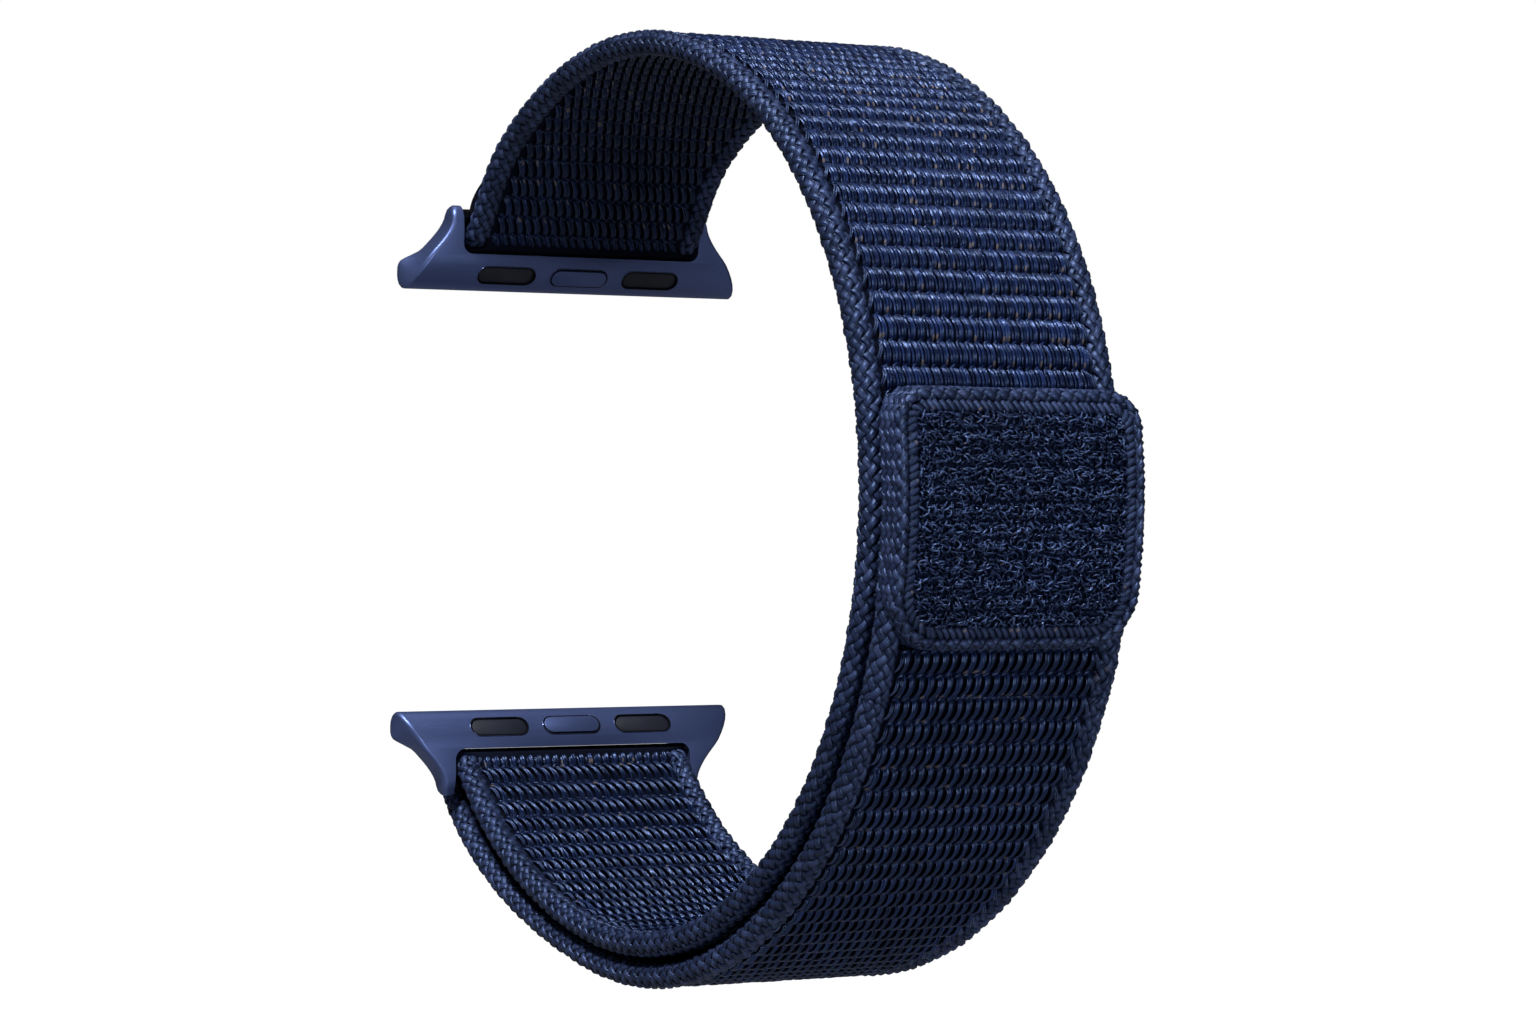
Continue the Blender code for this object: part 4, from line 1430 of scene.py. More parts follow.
    def pile(self, name: str) -> bpy.types.Object:
        """Makes the rows of curled loops.

        Args:
            name: the object's name.

        Returns:
            A new object.
        """
        sizes = self.loops
        tubes = Tubes(name)
        chance = np.random.default_rng(Seed.TAB_PILE)
        shape = self.outline(sizes.inset)
        rows = round(2 * shape.half_height / sizes.row_pitch)
        pitch = 2 * shape.half_height / rows
        columns = round(2 * shape.half_width / sizes.loop_pitch)
        row, column, twin = grid(rows, columns, sizes.twins)
        aside = twin - (sizes.twins - 1) / 2
        up = (row + 0.5) * pitch - shape.half_height + aside * sizes.twin_step * pitch
        up = up + chance.normal(0, sizes.row_drift, len(row))
        across = ((column + 0.5) / columns * 2 - 1) * shape.half_width
        across = across + chance.normal(0, sizes.loop_drift, len(row))
        inside = np.abs(across) < shape.half_at(up) - sizes.margin
        up, across, aside = up[inside], across[inside], aside[inside]
        count = len(up)
        turn = chance.normal(0.0, sizes.turn_drift, count)
        turn = turn + np.where(chance.random(count) < sizes.crossed, math.pi / 2, 0.0)
        wide = sizes.width * (sizes.width_range[0] + sizes.width_range[1] * chance.random(count))
        tall = sizes.height * (sizes.height_range[0] + sizes.height_range[1] * chance.random(count))
        tall = tall * np.where(np.abs(aside) < 1, 1.0, sizes.outer_height)
        share = np.linspace(-1.0, 1.0, sizes.points)[None, :]
        arc = share * math.pi * sizes.arc
        lowest = math.cos(math.pi * sizes.arc)
        run = np.sin(arc) * wide[:, None] * (1 + sizes.flare * np.cos(arc))
        lift = (np.cos(arc) - lowest) / (1 - lowest) * tall[:, None]
        lean = chance.normal(0.0, sizes.lean, (count, 1)) * lift
        curl = chance.normal(0.0, sizes.curl, (count, 1)) * share
        x = across[:, None] + run * np.cos(turn)[:, None] - (lean + curl) * np.sin(turn)[:, None]
        y = up[:, None] + run * np.sin(turn)[:, None] + (lean + curl) * np.cos(turn)[:, None]
        offset = sizes.level - sizes.sink + lift
        centres = self.spot.place(y, x, offset)
        outward = self.spot.normal(y, offset)
        tubes.add(centres, outward, sizes.radius, sizes.radius, chance.random(count), sizes.sides)
        return tubes.build()

    def hooks(self, name: str) -> bpy.types.Object:
        """Makes the hooks on the tab's inside.

        Args:
            name: the object's name.

        Returns:
            A new object.
        """
        sizes = self.hook
        tubes = Tubes(name)
        shape = self.outline(self.loops.inset + sizes.inset)
        rows = int(2 * shape.half_height / sizes.pitch)
        columns = int(2 * shape.half_width / sizes.pitch)
        row, column = grid(rows, columns)
        up = ((row + 0.5) / rows * 2 - 1) * shape.half_height
        across = ((column + 0.5) / columns * 2 - 1) * shape.half_width
        inside = np.abs(across) < shape.half_at(up) - sizes.margin
        up, across, row = up[inside], across[inside], row[inside]
        bend, drop = np.array(sizes.bend) * MM, np.array(sizes.drop) * MM
        way = np.where(row % 2 == 0, 1.0, -1.0)[:, None]
        y = up[:, None] + way * bend[None, :]
        offset = np.broadcast_to(sizes.level - drop[None, :], y.shape)
        x = np.broadcast_to(across[:, None], y.shape)
        centres = self.spot.place(y, x, offset)
        side = np.zeros_like(centres)
        side[..., 1] = 1.0
        tint = np.full(len(up), sizes.tint)
        tubes.add(centres, side, sizes.half_width, sizes.half_thickness, tint, sizes.sides)
        return tubes.build()


class Tree:
    """A new material's nodes, with short ways to add the ones that the finishes use."""

    def __init__(self, name: str) -> None:
        """Makes a material with one Principled shader.

        Args:
            name: its name.
        """
        self.material = bpy.data.materials.new(name)
        self.material.use_nodes = True
        self.nodes = self.material.node_tree.nodes
        self.links = self.material.node_tree.links
        self.shader = self.nodes["Principled BSDF"]

    def set(self, **values: object) -> None:
        """Sets sockets of the shader, with low lines for the spaces in their names."""
        for name, value in values.items():
            self.shader.inputs[name.replace("_", " ")].default_value = value

    def add(self, kind: str, **settings: object) -> bpy.types.Node:
        """Adds a node.

        Args:
            kind: its type.
            settings: its settings.

        Returns:
            The node.
        """
        node = self.nodes.new(kind)
        for key, value in settings.items():
            setattr(node, key, value)
        return node

    def link(self, output: Socket, into: Socket) -> None:
        """Links two sockets."""
        self.links.new(output, into)

    def place(self) -> Socket:
        """The place on the object."""
        return self.add("ShaderNodeTexCoord").outputs["Object"]

    def noise(self, vector: Socket, scale: float, detail: float) -> Socket:
        """Adds a noise texture.

        Args:
            vector: where it is read.
            scale: its scale.
            detail: its detail.

        Returns:
            Its factor.
        """
        node = self.add("ShaderNodeTexNoise")
        node.inputs["Scale"].default_value = scale
        node.inputs["Detail"].default_value = detail
        self.link(vector, node.inputs["Vector"])
        return node.outputs["Fac"]

    def ramp(self, factor: Socket, stops: list[tuple[float, Colour]]) -> Socket:
        """Adds a colour ramp.

        Args:
            factor: what it reads.
            stops: places and colours, lowest first.

        Returns:
            Its colour.
        """
        node = self.add("ShaderNodeValToRGB")
        elements = node.color_ramp.elements
        elements[0].position, elements[-1].position = stops[0][0], stops[-1][0]
        elements[0].color = (*stops[0][1], 1.0)
        elements[-1].color = (*stops[-1][1], 1.0)
        for at, colour in stops[1:-1]:
            elements.new(at).color = (*colour, 1.0)
        self.link(factor, node.inputs["Fac"])
        return node.outputs["Color"]

    def fit(self, value: Socket, low: float, high: float, to_low: float, to_high: float) -> Socket:
        """Moves a value from one range to another, and holds it inside.

        Args:
            value: the value.
            low: where the first range starts.
            high: where it ends.
            to_low: where the second range starts.
            to_high: where it ends.

        Returns:
            The new value.
        """
        node = self.add("ShaderNodeMapRange", clamp=True)
        self.link(value, node.inputs["Value"])
        for name, number in (("From Min", low), ("From Max", high), ("To Min", to_low), ("To Max", to_high)):
            node.inputs[name].default_value = number
        return node.outputs["Result"]

    def math(self, operation: str, first: Socket, second: Socket | float | None = None) -> Socket:
        """Adds a sum.

        Args:
            operation: its kind.
            first: a value.
            second: another value, a number, or None.

        Returns:
            The result.
        """
        node = self.add("ShaderNodeMath", operation=operation)
        self.link(first, node.inputs[0])
        if isinstance(second, float):
            node.inputs[1].default_value = second
        elif second is not None:
            self.link(second, node.inputs[1])
        return node.outputs[0]

    def from_middle(self, value: Socket, middle: float = 0.5) -> Socket:
        """How far a value lies from a middle, either way."""
        return self.math("ABSOLUTE", self.math("SUBTRACT", value, middle))

    def scaled(self, colour: Socket, by: Socket) -> Socket:
        """Makes a colour darker or lighter.

        Args:
            colour: the colour.
            by: the value that scales it.

        Returns:
            The new colour.
        """
        node = self.add("ShaderNodeVectorMath", operation="SCALE")
        self.link(colour, node.inputs[0])
        self.link(by, node.inputs["Scale"])
        return node.outputs[0]

    def mix(self, factor: Socket, first: Socket, second: Colour) -> Socket:
        """Mixes a colour with a fixed one.

        Args:
            factor: the fixed colour's share.
            first: the colour.
            second: the fixed colour.

        Returns:
            The mixture.
        """
        node = self.add("ShaderNodeMix", data_type="RGBA")
        self.link(factor, node.inputs["Factor"])
        self.link(first, node.inputs["A"])
        node.inputs["B"].default_value = (*second, 1.0)
        return node.outputs["Result"]

    def bump(self, height: Socket, strength: float, distance: float) -> None:
        """Adds a bump to the shader's normal.

        Args:
            height: the height that it follows.
            strength: its strength.
            distance: its depth.
        """
        node = self.add("ShaderNodeBump")
        node.inputs["Strength"].default_value = strength
        node.inputs["Distance"].default_value = distance
        self.link(height, node.inputs["Height"])
        self.link(node.outputs["Normal"], self.shader.inputs["Normal"])


@dataclass(frozen=True)
class YarnFinish:
    """Dyed nylon yarn: twisted plies, fine fibres, a cool sheen, lighter strands and a few tan ones, with painted
    shade and highlight in its colour.
    """

    name: str
    deep: Colour
    body: Colour
    light: Colour
    body_at: float = 0.55
    tan: Colour = (0.165, 0.135, 0.115)
    tan_from: float = 0.88
    tan_step: float = 0.04
    tan_share: float = 0.8
    tan_at: float = 0.24
    tan_reach: tuple[float, float] = (0.04, 0.10)
    # Painted shade: how dark a strand's colour gets at its ends, where it dives into the valley between rows.
    end_painted_shade: float = 0.35
    end_reach: tuple[float, float] = (0.30, 0.50)
    roughness: float = 0.27
    shine: float = 1.0
    tint: Colour = (0.36, 0.52, 1.0)
    sheen: float = 0.02
    sheen_roughness: float = 0.45
    sheen_tint: Colour = (0.35, 0.50, 1.0)
    plies: float = 6.0
    ply_span: tuple[float, float] = (-0.2, 1.2)
    # Painted shade in the ply grooves and painted highlight on the ply crests.
    ply_groove_painted_shade: float = 0.45
    ply_crest_painted_highlight: float = 1.35
    # Painted highlight on a strand's top and painted shade on its sides and underside.
    side_shade_reach: tuple[float, float] = (0.08, 0.28)
    top_painted_highlight: float = 1.15
    side_painted_shade: float = 0.45
    patch_scale: float = 160.0
    patch_range: tuple[float, float] = (0.78, 1.18)
    fibre_depth: float = 0.03 * MM
    fibre_strength: float = 0.7
    fibre_run: float = 2.0
    fibre_turns: float = 12.0
    fibre_apart: float = 60.0
    fibre_range: tuple[float, float] = (-0.4, 0.4)
    detail: float = 2.0

    def make(self) -> bpy.types.Material:
        """Makes the material.

        Returns:
            The material.
        """
        tree = Tree(self.name)
        mark = tree.add("ShaderNodeAttribute", attribute_name="yarn")
        parts = tree.add("ShaderNodeSeparateXYZ")
        tree.link(mark.outputs["Vector"], parts.inputs["Vector"])
        shade, along, around = (parts.outputs[axis] for axis in "XYZ")
        ramp = tree.ramp(shade, [(0.0, self.deep), (self.body_at, self.body), (1.0, self.light)])
        patch = tree.noise(tree.place(), self.patch_scale, self.detail)
        shaded = tree.scaled(ramp, tree.fit(patch, *NOISE_SPAN, *self.patch_range))

        fleck = tree.fit(shade, self.tan_from, self.tan_from + self.tan_step, 0.0, self.tan_share)
        low = tree.fit(tree.from_middle(along, self.tan_at), *self.tan_reach, 1.0, 0.0)
        coloured = tree.mix(tree.math("MULTIPLY", fleck, low), shaded, self.tan)

        fine = tree.add("ShaderNodeCombineXYZ")
        runs = ((shade, self.fibre_apart), (along, self.fibre_run), (around, self.fibre_turns))
        for axis, (part, scale) in zip("XYZ", runs):
            tree.link(tree.math("MULTIPLY", part, scale), fine.inputs[axis])
        fibres = tree.noise(fine.outputs["Vector"], 1.0, self.detail)
        turned_by = tree.math("MULTIPLY", around, math.pi * self.plies)
        crest = tree.math("ABSOLUTE", tree.math("SINE", turned_by))
        raised = tree.math("ADD", crest, tree.fit(fibres, *NOISE_SPAN, *self.fibre_range))
        tree.bump(raised, self.fibre_strength, self.fibre_depth)

        # Painted shade: the colour darkens towards each strand's ends, where it dives into the valley between rows.
        ends = tree.fit(tree.from_middle(along), *self.end_reach, 1.0, self.end_painted_shade)
        # Painted shade in the ply grooves and painted highlight on the ply crests, following the bump's relief, with
        # some random fibre tone.
        plies = tree.fit(raised, *self.ply_span, self.ply_groove_painted_shade, self.ply_crest_painted_highlight)
        # Painted highlight on each strand's top and painted shade on its sides and underside.
        painted_top_and_side_shade = tree.fit(tree.from_middle(around), *self.side_shade_reach, self.top_painted_highlight, self.side_painted_shade)
        # The painted shade and highlight marks multiplied together, which scale the base colour.
        painted_shading = tree.math("MULTIPLY", tree.math("MULTIPLY", ends, plies), painted_top_and_side_shade)
        tree.link(tree.scaled(coloured, painted_shading), tree.shader.inputs["Base Color"])
        tree.set(Roughness=self.roughness, Specular_IOR_Level=self.shine, Specular_Tint=(*self.tint, 1.0))
        tree.set(Sheen_Weight=self.sheen, Sheen_Roughness=self.sheen_roughness)
        tree.set(Sheen_Tint=(*self.sheen_tint, 1.0))
        return tree.material


@dataclass(frozen=True)
class MetalFinish:
    """Metal with a fine blasted grain."""

    name: str
    colour: Colour
    metallic: float
    roughness: float
    roughness_spread: float = 0.05
    cloud_scale: float = 90.0
    cloud_detail: float = 3.0
    cloud_span: tuple[float, float] = (0.35, 0.65)
    cloud_range: tuple[float, float] = (0.93, 1.08)
    grain_scale: float = 9000.0
    grain_detail: float = 2.0
    grain_strength: float = 0.25
    grain_depth: float = 0.004 * MM

    def make(self) -> bpy.types.Material:
        """Makes the material.

        Returns:
            The material.
        """
        tree = Tree(self.name)
        place = tree.place()
        cloud = tree.noise(place, self.cloud_scale, self.cloud_detail)
        stops = [(at, tuple(c * by for c in self.colour)) for at, by in zip(self.cloud_span, self.cloud_range)]
        tree.link(tree.ramp(cloud, stops), tree.shader.inputs["Base Color"])
        grain = tree.noise(place, self.grain_scale, self.grain_detail)
        rough = (self.roughness - self.roughness_spread, self.roughness + self.roughness_spread)
        tree.link(tree.fit(grain, *NOISE_SPAN, *rough), tree.shader.inputs["Roughness"])
        tree.bump(grain, self.grain_strength, self.grain_depth)
        tree.set(Metallic=self.metallic)
        return tree.material


@dataclass(frozen=True)
class RubberFinish:
    """Moulded rubber, plastic or dark backing, matt, with a faint grain; it also gives the near-black painted shade
    of the weave's ground and of the lugs' pocket gaps.
    """

    name: str
    colour: Colour
    roughness: float = 0.6
    shine: float = 0.4
    cloud_scale: float = 400.0
    cloud_detail: float = 3.0
    cloud_range: tuple[float, float] = (0.8, 1.3)
    grain_scale: float = 7000.0
    grain_detail: float = 2.0
    grain_strength: float = 0.3
    grain_depth: float = 0.01 * MM

    def make(self) -> bpy.types.Material:
        """Makes the material.

        Returns:
            The material.
        """
        tree = Tree(self.name)
        place = tree.place()
        cloud = tree.noise(place, self.cloud_scale, self.cloud_detail)
        stops = [(at, tuple(c * by for c in self.colour)) for at, by in zip(NOISE_SPAN, self.cloud_range)]
        tree.link(tree.ramp(cloud, stops), tree.shader.inputs["Base Color"])
        tree.bump(tree.noise(place, self.grain_scale, self.grain_detail), self.grain_strength, self.grain_depth)
        tree.set(Roughness=self.roughness, Specular_IOR_Level=self.shine)
        return tree.material


ROW_YARN = YarnFinish("navy_row_yarn", (0.0016, 0.0036, 0.017), (0.0037, 0.0082, 0.036), (0.009, 0.020, 0.080))
CORD_YARN = YarnFinish(
    "navy_cord_yarn",
    (0.005, 0.009, 0.028),
    (0.012, 0.019, 0.054),
    (0.032, 0.046, 0.110),
    end_painted_shade=1.0,
    roughness=0.42,
    shine=0.75,
    plies=8.0,
    # Painted shade in the braid's ply grooves and on the sides and undersides of its ribbons.
    ply_groove_painted_shade=0.75,
    side_painted_shade=0.15,
    fibre_depth=0.02 * MM,
    fibre_run=120.0,
)
STITCH_YARN = YarnFinish("navy_stitch_yarn", (0.010, 0.017, 0.050), (0.028, 0.045, 0.115), (0.07, 0.10, 0.21))
LOOP_PILE = YarnFinish("navy_loop_pile", (0.002, 0.004, 0.018), (0.008, 0.016, 0.056), (0.070, 0.110, 0.260))


@dataclass(frozen=True)
class Finishes:
    """Every finish on the strap, made once."""

    yarn: bpy.types.Material
    cord: bpy.types.Material
    stitch: bpy.types.Material
    pile: bpy.types.Material
    ground: bpy.types.Material
    pile_ground: bpy.types.Material
    hook: bpy.types.Material
    metal: bpy.types.Material
    rim_metal: bpy.types.Material
    rubber: bpy.types.Material
    seam: bpy.types.Material
    steel: bpy.types.Material

    @staticmethod
    def all() -> Finishes:
        """Makes them.

        Returns:
            The finishes.
        """
        return Finishes(
            yarn=ROW_YARN.make(),
            cord=CORD_YARN.make(),
            stitch=STITCH_YARN.make(),
            pile=LOOP_PILE.make(),
            # The weave's ground is near-black: painted shade for the deep gaps between the strands.
            ground=RubberFinish("navy_ground_painted_shade", (0.0012, 0.0026, 0.0100), 0.9, 0.1).make(),
            pile_ground=RubberFinish("navy_pile_ground", (0.0030, 0.0060, 0.0220), 0.9, 0.1).make(),
            hook=RubberFinish("dark_hook_tape", (0.006, 0.009, 0.024), 0.5).make(),
            metal=MetalFinish("satin_navy_metal", (0.098, 0.140, 0.340), 0.75, 0.42).make(),
            rim_metal=MetalFinish("polished_navy_edge", (0.100, 0.130, 0.280), 0.8, 0.25).make(),
            rubber=RubberFinish("near_black_rubber", (0.011, 0.013, 0.024), 0.5).make(),
            # A near-black painted shadow for the gap round each pad and button.
            seam=RubberFinish("painted_gap_shadow", (0.0012, 0.0014, 0.0030), 0.8, 0.1).make(),
            steel=MetalFinish("dark_steel", (0.034, 0.038, 0.050), 1.0, 0.32).make(),
        )


def finished(made: bpy.types.Object, finish: bpy.types.Material, slot: str) -> bpy.types.Object:
    """Gives a piece its material.

    Args:
        made: the piece.
        finish: the material.
        slot: not used.

    Returns:
        The piece.
    """
    made.data.materials.append(finish)
    return made


@dataclass(frozen=True)
class Lugs:
    """The two lugs, which stay the solids that they are, with a bright edge round each pocket."""

    frame: dict
    finishes: Finishes
    pill_length: float = 4.7 * MM
    pill_height: float = 1.34 * MM
    pill_pitch: float = 6.2 * MM
    pill_gap: float = 0.12 * MM
    pill_points: int = 12
    face_radius: float = 3.5 * MM
    curve_radius: float = 2.3 * MM
    edge_radius: float = 0.045 * MM
    # The near-black line in each pocket's gap is painted shadow.
    seam_radius: float = 0.085 * MM
    seam_sink: float = 0.02 * MM
    line_flatness: float = 0.8
    line_sides: int = 6
    line_tint: float = 0.5
    sharp_angle: float = math.radians(38.0)
    weld: float = 0.001 * MM

    def dress(self) -> None:
        """Dresses both lugs' solids, and adds the pockets' edges and the leaf springs."""
        given = {
            "lug_body": self.finishes.metal,
            "lock_button": self.finishes.metal,
            "pad_near": self.finishes.rubber,
            "pad_far": self.finishes.rubber,
            "bar": self.finishes.steel,
        }
        rounding = self.rounding()
        for end in End:
            for part, finish in given.items():
                solid = self.frame["nodes"][f"{end.value}_{part}"]
                for slot in solid.material_slots:
                    slot.material = finish
                solid.modifiers.new("smooth_shading", "NODES").node_group = rounding
            self.rings(end)
            self.leaf(end)
        LOG.info("lugs: %d solids dressed", len(End) * len(given))

    def face(self, end: End) -> tuple[Vector, Vector]:
        """Finds a lug's face from its button's joint.

        Args:
            end: the lug's end of the strap.

        Returns:
            The middle of the face, and the direction out of it.
        """
        joints = self.frame["record"]["behaviour"]["joints"]
        joint = next(j for j in joints if j["name"] == f"{end.value}_button_press")
        return Vector(joint["pos_m"]), -Vector(joint["axis"]).normalized()

    def line(self, name: str, end: End, side: float, line: Line) -> bpy.types.Object:
        """Makes a line round one pocket.

        Args:
            name: the object's name.
            end: the lug's end of the strap.
            side: the pocket's place along Y.
            line: which line it is.

        Returns:
            A new object.
        """
        seam = line is Line.SEAM
        origin, normal = self.face(end)
        half = self.pill_height / 2 + self.pill_gap * (0.5 if seam else 1.0)
        radius = self.seam_radius if seam else self.edge_radius
        reach = (self.pill_length - self.pill_height) / 2
        turn = np.linspace(-math.pi / 2, math.pi / 2, self.pill_points)
        right = np.stack([reach + half * np.cos(turn), half * np.sin(turn)], axis=-1)
        ring = np.concatenate([right, -right, right[:1]])
        level = np.sqrt(self.face_radius**2 - ring[:, 1] ** 2) - self.curve_radius
        level = level - (self.seam_sink if seam else 0.0)
        out = np.array(normal)
        up = np.array([-normal[2], 0.0, normal[0]]) * (1 if end is End.UPPER else -1)
        points = np.array(origin) + level[:, None] * out + ring[:, 1:] * up
        points[:, 1] += side + ring[:, 0]
        tubes = Tubes(name)
        upward = np.broadcast_to(out, points.shape)[None]
        tint = np.array([self.line_tint])
        tubes.add(points[None], upward, radius, radius * self.line_flatness, tint, self.line_sides)
        return tubes.build()

    def rings(self, end: End) -> None:
        """Adds the two lines round each of a lug's three pockets.

        Args:
            end: the lug's end of the strap.
        """
        # The edge line is a thin polished tube; the other line is a near-black tube in the gap round each pad and
        # button, a painted shadow.
        given = {
            Line.EDGE: (self.finishes.rim_metal, "navy_metal"),
            Line.SEAM: (self.finishes.seam, "black_rubber"),
        }
        for spot, side in (("near", -self.pill_pitch), ("middle", 0.0), ("far", self.pill_pitch)):
            for line, (finish, slot) in given.items():
                ring = self.line(f"{end.value}_pocket_{line.value}_{spot}", end, side, line)
                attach(finished(ring, finish, slot), f"{end.value}_lug")

    def leaf(self, end: End) -> None:
        """Copies a lug's leaf spring as a piece of its own, and hides its solid.

        Args:
            end: the lug's end of the strap.
        """
        node = f"{end.value}_lock_spring"
        leaf = linked(bpy.data.objects.new(f"{end.value}_leaf_spring", self.frame["nodes"][node].data.copy()))
        leaf.data.materials.clear()
        finished(leaf, self.finishes.steel, "steel")
        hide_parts(node)
        origin, normal = self.face(end)
        levels = [(corner.co - origin).dot(normal) for corner in leaf.data.vertices]
        floor, top = (tuple(origin + normal * level) for level in (min(levels), max(levels)))
        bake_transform(leaf)
        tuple(floor)
        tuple(top)

    def rounding(self) -> bpy.types.NodeTree:
        """Makes the modifier that shades the solids' curves smooth and leaves their sharp edges.

        Returns:
            Its nodes.
        """
        group = bpy.data.node_groups.new("smooth_shading", "GeometryNodeTree")
        for way in ("INPUT", "OUTPUT"):
            group.interface.new_socket("Geometry", in_out=way, socket_type="NodeSocketGeometry")
        nodes, links = group.nodes, group.links
        shading = ["GeometryNodeSetShadeSmooth"] * 2
        kinds = ["NodeGroupInput", "GeometryNodeMergeByDistance", *shading, "NodeGroupOutput"]
        chain = [nodes.new(kind) for kind in kinds]
        for first, second in zip(chain, chain[1:]):
            links.new(first.outputs["Geometry"], second.inputs["Geometry"])
        _, joined, _, edges, _ = chain
        joined.inputs["Distance"].default_value = self.weld
        edges.domain = "EDGE"
        edges.inputs["Shade Smooth"].default_value = False
        angle, sharp = nodes.new("GeometryNodeInputMeshEdgeAngle"), nodes.new("FunctionNodeCompare")
        sharp.operation = "GREATER_THAN"
        sharp.inputs["B"].default_value = self.sharp_angle
        links.new(angle.outputs["Unsigned Angle"], sharp.inputs["A"])
        links.new(sharp.outputs["Result"], edges.inputs["Selection"])
        return group


@dataclass(frozen=True)
class Lamp:
    """A square soft light that shines at the strap, placed as the camera sees it."""

    name: str
    forward: float
    right: float
    up: float
    size: float
    power: float
    colour: Colour = WHITE

    def hang(self, forward: Vector, right: Vector) -> None:
        """Hangs the lamp.

        Args:
            forward: the level direction from the strap to the camera.
            right: the camera's direction to the right.
        """
        data = bpy.data.lights.new(self.name, "AREA")
        data.shape = "SQUARE"
        data.size = self.size
        data.energy = self.power
        data.color = self.colour
        made = linked(bpy.data.objects.new(self.name, data))
        at = forward * self.forward + right * self.right + Vector((0.0, 0.0, self.up))
        made.location = at
        made.rotation_euler = (-at).to_track_quat("-Z", "Y").to_euler()


@dataclass(frozen=True)
class Studio:
    """The camera at the photograph's angle, a pale floor below the strap's whole swing, and soft lights."""

    azimuth: float = 60.109
    elevation: float = 1.325
    roll: float = 1.016
    distance: float = 298.274 * MM
    focal_pixels: float = 4150.3
    image_width: float = 1536.0
    sensor: float = 36.0
    nearest: float = 0.01
    right_shift: float = 2.021 * MM
    up_shift: float = -1.287 * MM
    floor_half: float = 6.0
    floor_drop: float = 100.0 * MM
    floor_grey: float = 0.22
    floor_glow: float = 1.0
    room_white: float = 1.0
    room_light: float = 0.03
    lamps: tuple[Lamp, ...] = (
        Lamp("key_light", forward=0.38, right=-0.20, up=0.74, size=0.18, power=10.0),
        Lamp("fill_light", forward=0.70, right=0.35, up=-0.02, size=0.35, power=3.0, colour=(0.96, 0.98, 1.0)),
        Lamp("top_light", forward=-0.15, right=0.0, up=0.75, size=0.30, power=0.4),
    )

    def axes(self) -> tuple[Vector, Vector, Vector]:
        """Works out the camera's directions.

        Returns:
            Right, up and back.
        """
        turn, rise, roll = (math.radians(v) for v in (self.azimuth, self.elevation, self.roll))
        back = Vector((math.sin(turn) * math.cos(rise), -math.cos(turn) * math.cos(rise), math.sin(rise)))
        right = Vector((math.cos(turn), math.sin(turn), 0.0))
        up = back.cross(right)
        tilted = right * math.cos(roll) + up * math.sin(roll)
        return tilted, up * math.cos(roll) - right * math.sin(roll), back

    def camera(self, target: Vector) -> None:
        """Sets the camera up.

        Args:
            target: the middle of the loop.
        """
        right, up, back = self.axes()
        data = bpy.data.cameras.new("photo_camera")
        data.sensor_width = self.sensor
        data.lens = self.focal_pixels * self.sensor / self.image_width
        data.clip_start = self.nearest
        made = linked(bpy.data.objects.new("photo_camera", data))
        turn = Matrix((right, up, back)).transposed().to_4x4()
        at = target + back * self.distance + right * self.right_shift + up * self.up_shift
        made.matrix_world = Matrix.Translation(at) @ turn
        bpy.context.scene.camera = made

    def floor(self, lowest: float) -> None:
        """Makes the floor.

        Args:
            lowest: the height of the strap's lowest point.
        """
        half, level = self.floor_half, lowest - self.floor_drop
        corners = [(x * half, y * half, level) for x, y in ((-1, -1), (1, -1), (1, 1), (-1, 1))]
        data = bpy.data.meshes.new("pale_floor")
        data.from_pydata(corners, [], [(0, 1, 2, 3)])
        made = linked(bpy.data.objects.new("pale_floor", data))
        tree = Tree("pale_paper")
        tree.set(Base_Color=(*[self.floor_grey] * 3, 1.0), Roughness=1.0, Specular_IOR_Level=0.0)
        tree.set(Emission_Color=(*WHITE, 1.0))
        seen = tree.add("ShaderNodeLightPath").outputs["Is Camera Ray"]
        tree.link(tree.fit(seen, 0.0, 1.0, 0.0, self.floor_glow), tree.shader.inputs["Emission Strength"])
        data.materials.append(tree.material)
        made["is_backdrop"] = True

    def lights(self) -> None:
        """Hangs the lamps and sets the room's own light."""
        right, _, back = self.axes()
        forward = Vector((back.x, back.y, 0.0)).normalized()
        for lamp in self.lamps:
            lamp.hang(forward, right)
        world = bpy.data.worlds.new("soft_room")
        world.use_nodes = True
        nodes, links = world.node_tree.nodes, world.node_tree.links
        shade = nodes["Background"]
        shade.inputs["Color"].default_value = (*WHITE, 1.0)
        path = nodes.new("ShaderNodeLightPath")
        seen = nodes.new("ShaderNodeMapRange")
        links.new(path.outputs["Is Camera Ray"], seen.inputs["Value"])
        seen.inputs["To Min"].default_value = self.room_light
        seen.inputs["To Max"].default_value = self.room_white
        links.new(seen.outputs["Result"], shade.inputs["Strength"])
        bpy.context.scene.world = world
        bpy.context.scene.view_settings.view_transform = "Standard"
        bpy.context.scene.view_settings.look = "None"


